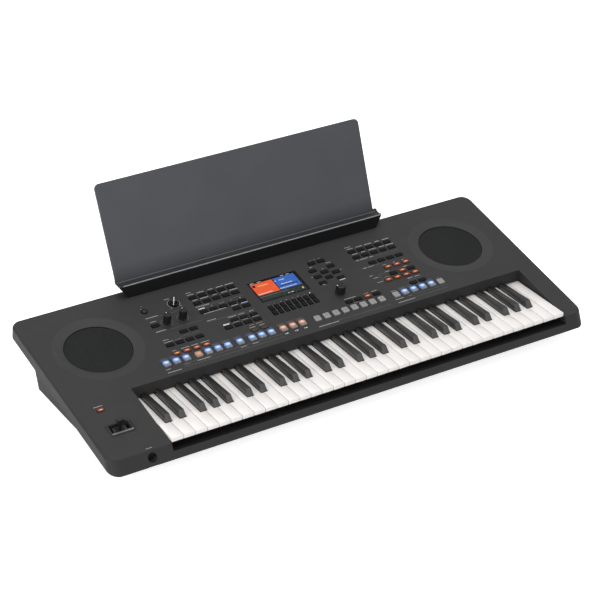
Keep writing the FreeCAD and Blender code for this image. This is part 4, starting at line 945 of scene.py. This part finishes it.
WHITE, GREY, FAINT, AMBER, TINTED, BLACK = range(6)
INKS = [WHITE_INK_AND_HIGHLIGHT, GREY_PRINT, FAINT_PRINT, AMBER_PRINT, BLUE_PRINT, SCREEN_BLACK]
WORDS = (
    # over the upper button rows on both sides of the display
    (360.0, 1.6, GREY, (-216, -206), (-171, -160), (180, 193)),
    (354.0, 2.2, GREY, (-171, -157), (-150, -136), (-127, -117), (-109, -94), (-90, -73)),
    (354.0, 2.2, GREY, (182, 195), (202, 217), (222, 238), (245, 256), (263, 278)),
    (336.5, 2.0, GREY, (-168, -158), (-152, -135), (-126, -117), (-107, -95), (183, 195), (204, 213),
     (220, 238)),
    (336.5, 2.2, GREY, (-90, -73), (245, 257), (260, 278)),
    # song section
    (317.0, 1.8, GREY, (-172, -143)),
    (310.0, 2.6, WHITE, (-170, -157)),
    (310.0, 2.0, GREY, (-143, -141), (-83, -80)),
    (310.0, 2.0, FAINT, (-127, -115), (-103, -99)),
    (294.5, 1.8, GREY, (-167, -120)),
    (294.5, 2.2, GREY, (-109, -95)),
    (294.5, 2.2, TINTED, (-88, -74)),
    # setup section
    (274.0, 1.8, GREY, (-172, -153)),
    (267.5, 1.8, GREY, (-131, -114), (-109, -96), (-86, -77)),
    (251.5, 3.0, WHITE, (-150, -137)),
    (251.5, 2.0, GREY, (-130, -116), (-110, -97), (-88, -75)),
    (231.5, 1.8, AMBER, (-106, -96), (-92, -78)),
    (225.0, 1.8, GREY, (-109, -97), (-88, -78)),
    # left column: standby, live controls, tempo and accompaniment
    (360.0, 1.4, GREY, (-265, -263)),
    (353.0, 1.4, GREY, (-269, -267)),
    (333.0, 1.4, GREY, (-216, -213), (-196, -193)),
    (325.0, 1.8, GREY, (-273, -247)),
    (312.0, 1.6, GREY, (-270, -258)),
    (283.5, 2.0, GREY, (-273, -252)),
    (257.5, 1.6, GREY, (-273, -261)),
    (251.0, 1.6, GREY, (-273, -255)),
    (251.0, 1.6, FAINT, (-251, -237)),
    (225.0, 1.8, GREY, (-270, -262), (-252, -235), (-231, -217), (-212, -195)),
    # under the pads
    (184.0, 1.6, GREY, (-304, -295), (-240, -212), (-151, -138), (-126, -113)),
    (184.0, 1.6, FAINT, (-267, -255)),
    (185.5, 1.8, GREY, (188, 206)),
    (185.5, 1.6, FAINT, (217, 226)),
    (175.5, 1.8, GREY, (-305, -277), (188, 226)),
    (175.5, 2.0, GREY, (12, 55)),
    # registration section and cursor cluster
    (225.0, 1.8, GREY, (97, 122), (158, 170)),
    (225.0, 1.8, AMBER, (140, 150)),
    (209.5, 1.4, AMBER, (108, 120)),
    (353.0, 1.6, GREY, (97, 99), (106, 108), (116, 118)),
    (334.5, 1.8, GREY, (85, 91), (122, 132)),
    (279.5, 1.8, GREY, (82, 89)),
    (279.5, 2.2, WHITE, (120, 133)),
    # right column: voice and part select
    (317.0, 1.8, GREY, (180, 187), (190, 207), (211, 219)),
    (291.0, 1.8, GREY, (180, 190), (192, 205)),
    (285.0, 1.4, GREY, (221, 228), (245, 250), (265, 270)),
    (265.5, 1.6, GREY, (179, 187), (215, 224), (256, 265)),
    (257.0, 1.6, GREY, (183, 194)),
    (251.5, 1.6, AMBER, (205, 215)),
    (243.0, 1.6, GREY, (183, 196)),
    (231.0, 1.6, GREY, (244, 256), (260, 272)),
    (209.5, 1.6, GREY, (192, 203)),
    (209.5, 1.6, FAINT, (297, 303)),
    # left block: hold button and headphone socket
    (147.0, 1.6, GREY, (-467, -450)),
    (17.5, 1.6, GREY, (-431, -420)),
    # ticks over the display's rockers
    (269.5, 1.8, GREY, (-18, -16), (-5, -3), (8, 10), (20, 22)),
    (269.5, 1.8, FAINT, (-43, -41), (-31, -29), (34, 36)),
    (269.5, 2.2, WHITE, (46, 48)),
)
# Ruled lines as (row, from, to), and one upright beside the part buttons as (from, to, low, high)
RULES = (
    (314.3, -172, -73), (271.0, -172, -72), (322.0, -273, -196), (281.0, -273, -178), (255.0, -237, -217),
    (255.0, -215, -197), (186.0, -270, -60), (178.0, -270, -60), (315.0, 180, 278), (291.0, 207, 220),
    (226.0, 242, 275), (186.0, 228, 305), (178.0, 228, 303), (178.0, 57, 172), (263.5, 198, 215),
)
UPRIGHT_RULE = (197.8, 198.2, 240, 263.5)
RULE_HALF = 0.2
PRINT_FOOT, PRINT_TOP = -0.05, 0.09
# Strokes of a word: ranges of widths, gaps and heights, and the shortest rest that gets a stroke
STROKE, STROKE_GAP, STROKE_RISE = (0.7, 1.3), (0.3, 0.45), (0.3, 0.5)
STROKE_LEAST = 0.3
# Arrows of the cursor cluster as (u, v, direction)
ARROWS = ((75, 307, 180), (139, 307, 0), (107, 322, 90), (107, 293, 270))
ARROW_RADIUS = 1.6
# Icons under the transport pads: a bar and an arrow, each as (from, to, half height)
TRANSPORT_ICONS = (-53, -32, -12)
ICON_ROW = 184.0
ICON_BAR = (-3.6, -1.2, 1.4)
ICON_ARROW = (0.4, 3.8, 1.6)
# Scales round the knobs: ticks, degrees between them, half width, inner and outer radius
SCALE_START = -140
LIVE_SCALE = (11, 28, 0.5, 10.4, 11.4)
VOLUME_SCALE = (57, 5, 0.53, 11.5, 12.1)
VOLUME_DISC = [(11.2, -0.05), (11.2, 0.05)]
DIVIDER_HALF, DIVIDER_OVER = 0.35, 1.0
SAME_ROW = 1


def legends():
    bm = bmesh.new()
    rng = random.Random(11)

    def plate(u0, u1, v0, v1, ink_index, frame_of=PANEL):
        slab(bm, u0, u1, v0, v1, PRINT_FOOT, PRINT_TOP, ink_index, frame_of)

    def scale(knob_node, ticks, apart, half, inner, outer):
        mid = middle(boxes_of(knob_node)[0])
        for tick in range(ticks):
            turn = panel_turned(mid, math.radians(SCALE_START + apart * tick))
            plate(-half, half, inner, outer, GREY, turn)

    for row, tall, word_ink, *spans in WORDS:
        for at, end in spans:
            while at < end - STROKE_LEAST:
                step = min(rng.uniform(*STROKE), end - at)
                plate(at, at + step, row - tall / 2, row + tall * rng.uniform(*STROKE_RISE), word_ink)
                at += step + rng.uniform(*STROKE_GAP)
    for row, first, last in RULES:
        plate(first, last, row - RULE_HALF, row + RULE_HALF, FAINT)
    plate(*UPRIGHT_RULE, FAINT)
    for u, v, turn in ARROWS:
        angles = [math.radians(turn + third) for third in (0, 120, 240)]
        points = [(u + ARROW_RADIUS * math.cos(angle), v + ARROW_RADIUS * math.sin(angle))
                  for angle in angles]
        prism(bm, points, PRINT_FOOT, PRINT_TOP, GREY)
    for u in TRANSPORT_ICONS:
        first, last, half = ICON_BAR
        plate(u + first, u + last, ICON_ROW - half, ICON_ROW + half, GREY)
        foot, tip, half = ICON_ARROW
        arrow = [(u + foot, ICON_ROW - half), (u + tip, ICON_ROW), (u + foot, ICON_ROW + half)]
        prism(bm, arrow, PRINT_FOOT, PRINT_TOP, WHITE)
    scale("live_knob_left", *LIVE_SCALE)
    scale("live_knob_right", *LIVE_SCALE)
    scale("volume_knob", *VOLUME_SCALE)
    volume_mid = middle(boxes_of("volume_knob")[0])
    paint(turned(bm, VOLUME_DISC, volume_mid, PANEL, sides=SMALL_SIDES), BLACK)
    rockers = boxes_of("display_rockers")
    for left, right in zip(rockers, rockers[1:]):
        if abs(left[2] - right[2]) < SAME_ROW:
            u = (left[1] + right[0]) / 2
            plate(u - DIVIDER_HALF, u + DIVIDER_HALF, left[2] - DIVIDER_OVER, left[3] + DIVIDER_OVER, FAINT)
    finish_piece("panel_legends", bm, INKS, "case")


legends()

DIGIT_SIZE, DIGIT_THICK, DIGIT_LIFT = 5.2, 0.05, 0.03


def digits():
    """Numbers 1 to 8 on the registration pads."""
    for number, box in enumerate(boxes_of("registration_pads"), 1):
        mid = middle(box)
        level = box[5] + DIGIT_LIFT
        curve = bpy.data.curves.new(f"digit_{number}", "FONT")
        curve.body = str(number)
        curve.size = DIGIT_SIZE
        curve.extrude = DIGIT_THICK
        curve.align_x = "CENTER"
        curve.align_y = "CENTER"
        text = bpy.data.objects.new(f"digit_{number}", curve)
        mesh = bpy.data.meshes.new_from_object(text)
        bm = bmesh.new()
        bm.from_mesh(mesh)
        for vert in bm.verts:
            vert.co = PANEL @ Vector((mid[0] + vert.co.x, mid[1] + vert.co.y, level + vert.co.z))
        bpy.data.objects.remove(text)
        bpy.data.meshes.remove(mesh)
        finish_piece(f"pad_digit_{number}", bm, [DIGIT_PRINT], "registration_pads")


digits()

# Joystick: grey housing with painted shade in its well and painted shadow along its rear and right edges,
# and a painted highlight strip along its front lip

STICK_COLUMN, STICK_ROW = -447.5, 84.1
WELL_HALF_WIDE, WELL_HALF_HIGH = 18.6, 9.2
SHADOW_BEHIND, SHADOW_RIGHT_OF = 95.0, -425.0
STICK_ROUND = 0.5
LEVER_ANGLE = math.radians(40)
LIP_INSET, LIP_FRONT, LIP_REAR = 3.4, 2.5, 5.4
LIP_SUNK, LIP_PROUD = 0.3, 0.1


def stick_face(face):
    """Painted shade inside the well, and painted shadow of the raised lip along the rear and right edges of
    the housing.
    """
    place = TO_PANEL @ face.calc_center_median()
    across, along = abs(place.x - STICK_COLUMN), abs(place.y - STICK_ROW)
    in_well = across < WELL_HALF_WIDE and along < WELL_HALF_HIGH
    return SECOND if in_well or place.y > SHADOW_BEHIND or place.x > SHADOW_RIGHT_OF else FIRST


# Painted highlight: a light strip on the housing's front lip, where it catches the light.
def stick_trim():
    u0, u1, v0, _, _, top = boxes_of("joystick_housing")[0]
    bm = bmesh.new()
    slab(bm, u0 + LIP_INSET, u1 - LIP_INSET, v0 + LIP_FRONT, v0 + LIP_REAR, top - LIP_SUNK, top + LIP_PROUD)
    finish_piece("joystick_lip_highlight", bm, [GREY_PAINTED_HIGHLIGHT], "case")


rounded_copy("joystick_housing", STICK_ROUND, [CASE, STICK_AND_SHADE], "case", choose=stick_face)
rounded_copy("joystick_lever", STICK_ROUND, [STICK_AND_SHADE], "joystick_lever", least=LEVER_ANGLE)
stick_trim()

# Sockets: black liner and ring at the headphone socket, metal nuts on the rear sockets

PHONES_COLUMN, PHONES_LEVEL = -425, -11
NOSE_TOP = 11.7
BAND_SETBACK, BAND_DEPTH = 17.2, 25.4
NOSE_LEAN = math.atan2(BAND_SETBACK, BAND_DEPTH)
LINER_BORE, LINER_RADIUS = 3.25, 6.2
RING_INNER, RING_OUTER = 6.4, 8.4


def phones_liner():
    inside = (PHONES_COLUMN, 0, PHONES_LEVEL)
    bore = PANEL @ Matrix.Translation(inside) @ Matrix.Rotation(math.pi / 2, 4, "X")
    liner = [(LINER_BORE, -7.0), (LINER_RADIUS, -7.0), (LINER_RADIUS, -6.5), (5.6, -6.2), (3.9, -6.2),
             (LINER_BORE, -6.6)]
    bm = bmesh.new()
    turned(bm, liner, (0, 0), bore, closed=True)
    mouth = (PHONES_COLUMN, NOSE_TOP + PHONES_LEVEL * math.tan(NOSE_LEAN), PHONES_LEVEL)
    nose = PANEL @ Matrix.Translation(mouth) @ Matrix.Rotation(math.pi / 2 - NOSE_LEAN, 4, "X")
    ring = [(RING_INNER, -0.1), (RING_OUTER, -0.1), (RING_OUTER, 0.15), (8.0, 0.3), (RING_INNER, 0.3)]
    turned(bm, ring, (0, 0), nose, closed=True)
    finish_piece("phones_liner", bm, [DULL_BLACK_AND_SHADE], "case")


def socket_nuts(node, inner, outer):
    profile = [(inner, 0.0), (outer, 0.0), (outer, -1.0), (outer - 0.5, -1.4), (inner, -1.4)]
    bm = bmesh.new()
    for box in boxes_of(node, TO_REAR):
        turned(bm, profile, middle(box), REAR, sides=SMALL_SIDES, closed=True)
    finish_piece(node + "_nuts", bm, [STEEL], "case")


phones_liner()
socket_nuts("rear_jacks", inner=5.5, outer=7.4)
socket_nuts("aux_jack", inner=3.7, outer=5.2)

# Music rest: painted shade on its foot under the ledge and on the ledge, with painted highlight lines along
# its lip and the foot of its panel

REST_ROUND = 0.9
REST_ANGLE = math.radians(20)
# Levels, ends and the flare of the foot in metres
LEDGE_END = -0.2882
LEDGE_FOOT = 0.1502
LEDGE_LEVEL = 0.158
LEDGE_REAR = 0.1668
LEDGE_UPWARD = 0.3
FOOT_END = -0.2735
FOOT_FRONT = 0.1545
FOOT_FLARE = 0.009
FOOT_EDGE_LOW, FOOT_EDGE_HIGH = 0.13, 0.14
PANEL_LOOK, SKIRT_SHADE_LOOK, LEDGE_SHADE_LOOK = range(3)
# Painted highlight lines in millimetres over the level case, as (left, right, front, rear, low, high)
LIP_LINE = (-281, 288.1, 388.8, 389.6, 152.6, 154.6)
PANEL_LINE = (-286, 284.0, 403.6, 405.2, 153.6, 155.0)


def narrow_ledge(bm):
    """Left end of the foot and ledge: the ledge flush with the panel, the foot slanting in under it.

    The front of the foot runs forward along the slope of the case."""
    for vert in bm.verts:
        if vert.co.y < FOOT_FRONT and FOOT_EDGE_LOW < vert.co.z < FOOT_EDGE_HIGH:
            vert.co.y -= FOOT_FLARE
            vert.co.z -= FOOT_FLARE * math.tan(SLOPE)
        if vert.co.z < LEDGE_LEVEL:
            vert.co.x = max(vert.co.x, FOOT_END if vert.co.z < LEDGE_FOOT else LEDGE_END)


def rest_face(face):
    """Painted shade: a nearly black foot and a dark ledge, in shaded copies of the rest's grey, and the
    panel in the rest's own grey.
    """
    spot = face.calc_center_median()
    if spot.z < LEDGE_FOOT:
        return SKIRT_SHADE_LOOK
    on_ledge = spot.z < LEDGE_LEVEL and spot.y < LEDGE_REAR and face.normal.z > LEDGE_UPWARD
    return LEDGE_SHADE_LOOK if on_ledge else PANEL_LOOK


# Painted highlights: light strips along the lip of the ledge and along the foot of the rest's panel.
def rest_trim():
    bm = bmesh.new()
    slab(bm, *LIP_LINE, FIRST, LEVEL)
    slab(bm, *PANEL_LINE, SECOND, LEVEL)
    finish_piece("rest_trim", bm, [REST_LIP_HIGHLIGHT, GREY_PAINTED_HIGHLIGHT], "music_rest")


rounded_copy("music_rest", REST_ROUND, [REST, REST_SKIRT_SHADE, REST_LEDGE_SHADE], "music_rest",
             segments=3, least=REST_ANGLE, choose=rest_face, shape=narrow_ledge)
rest_trim()
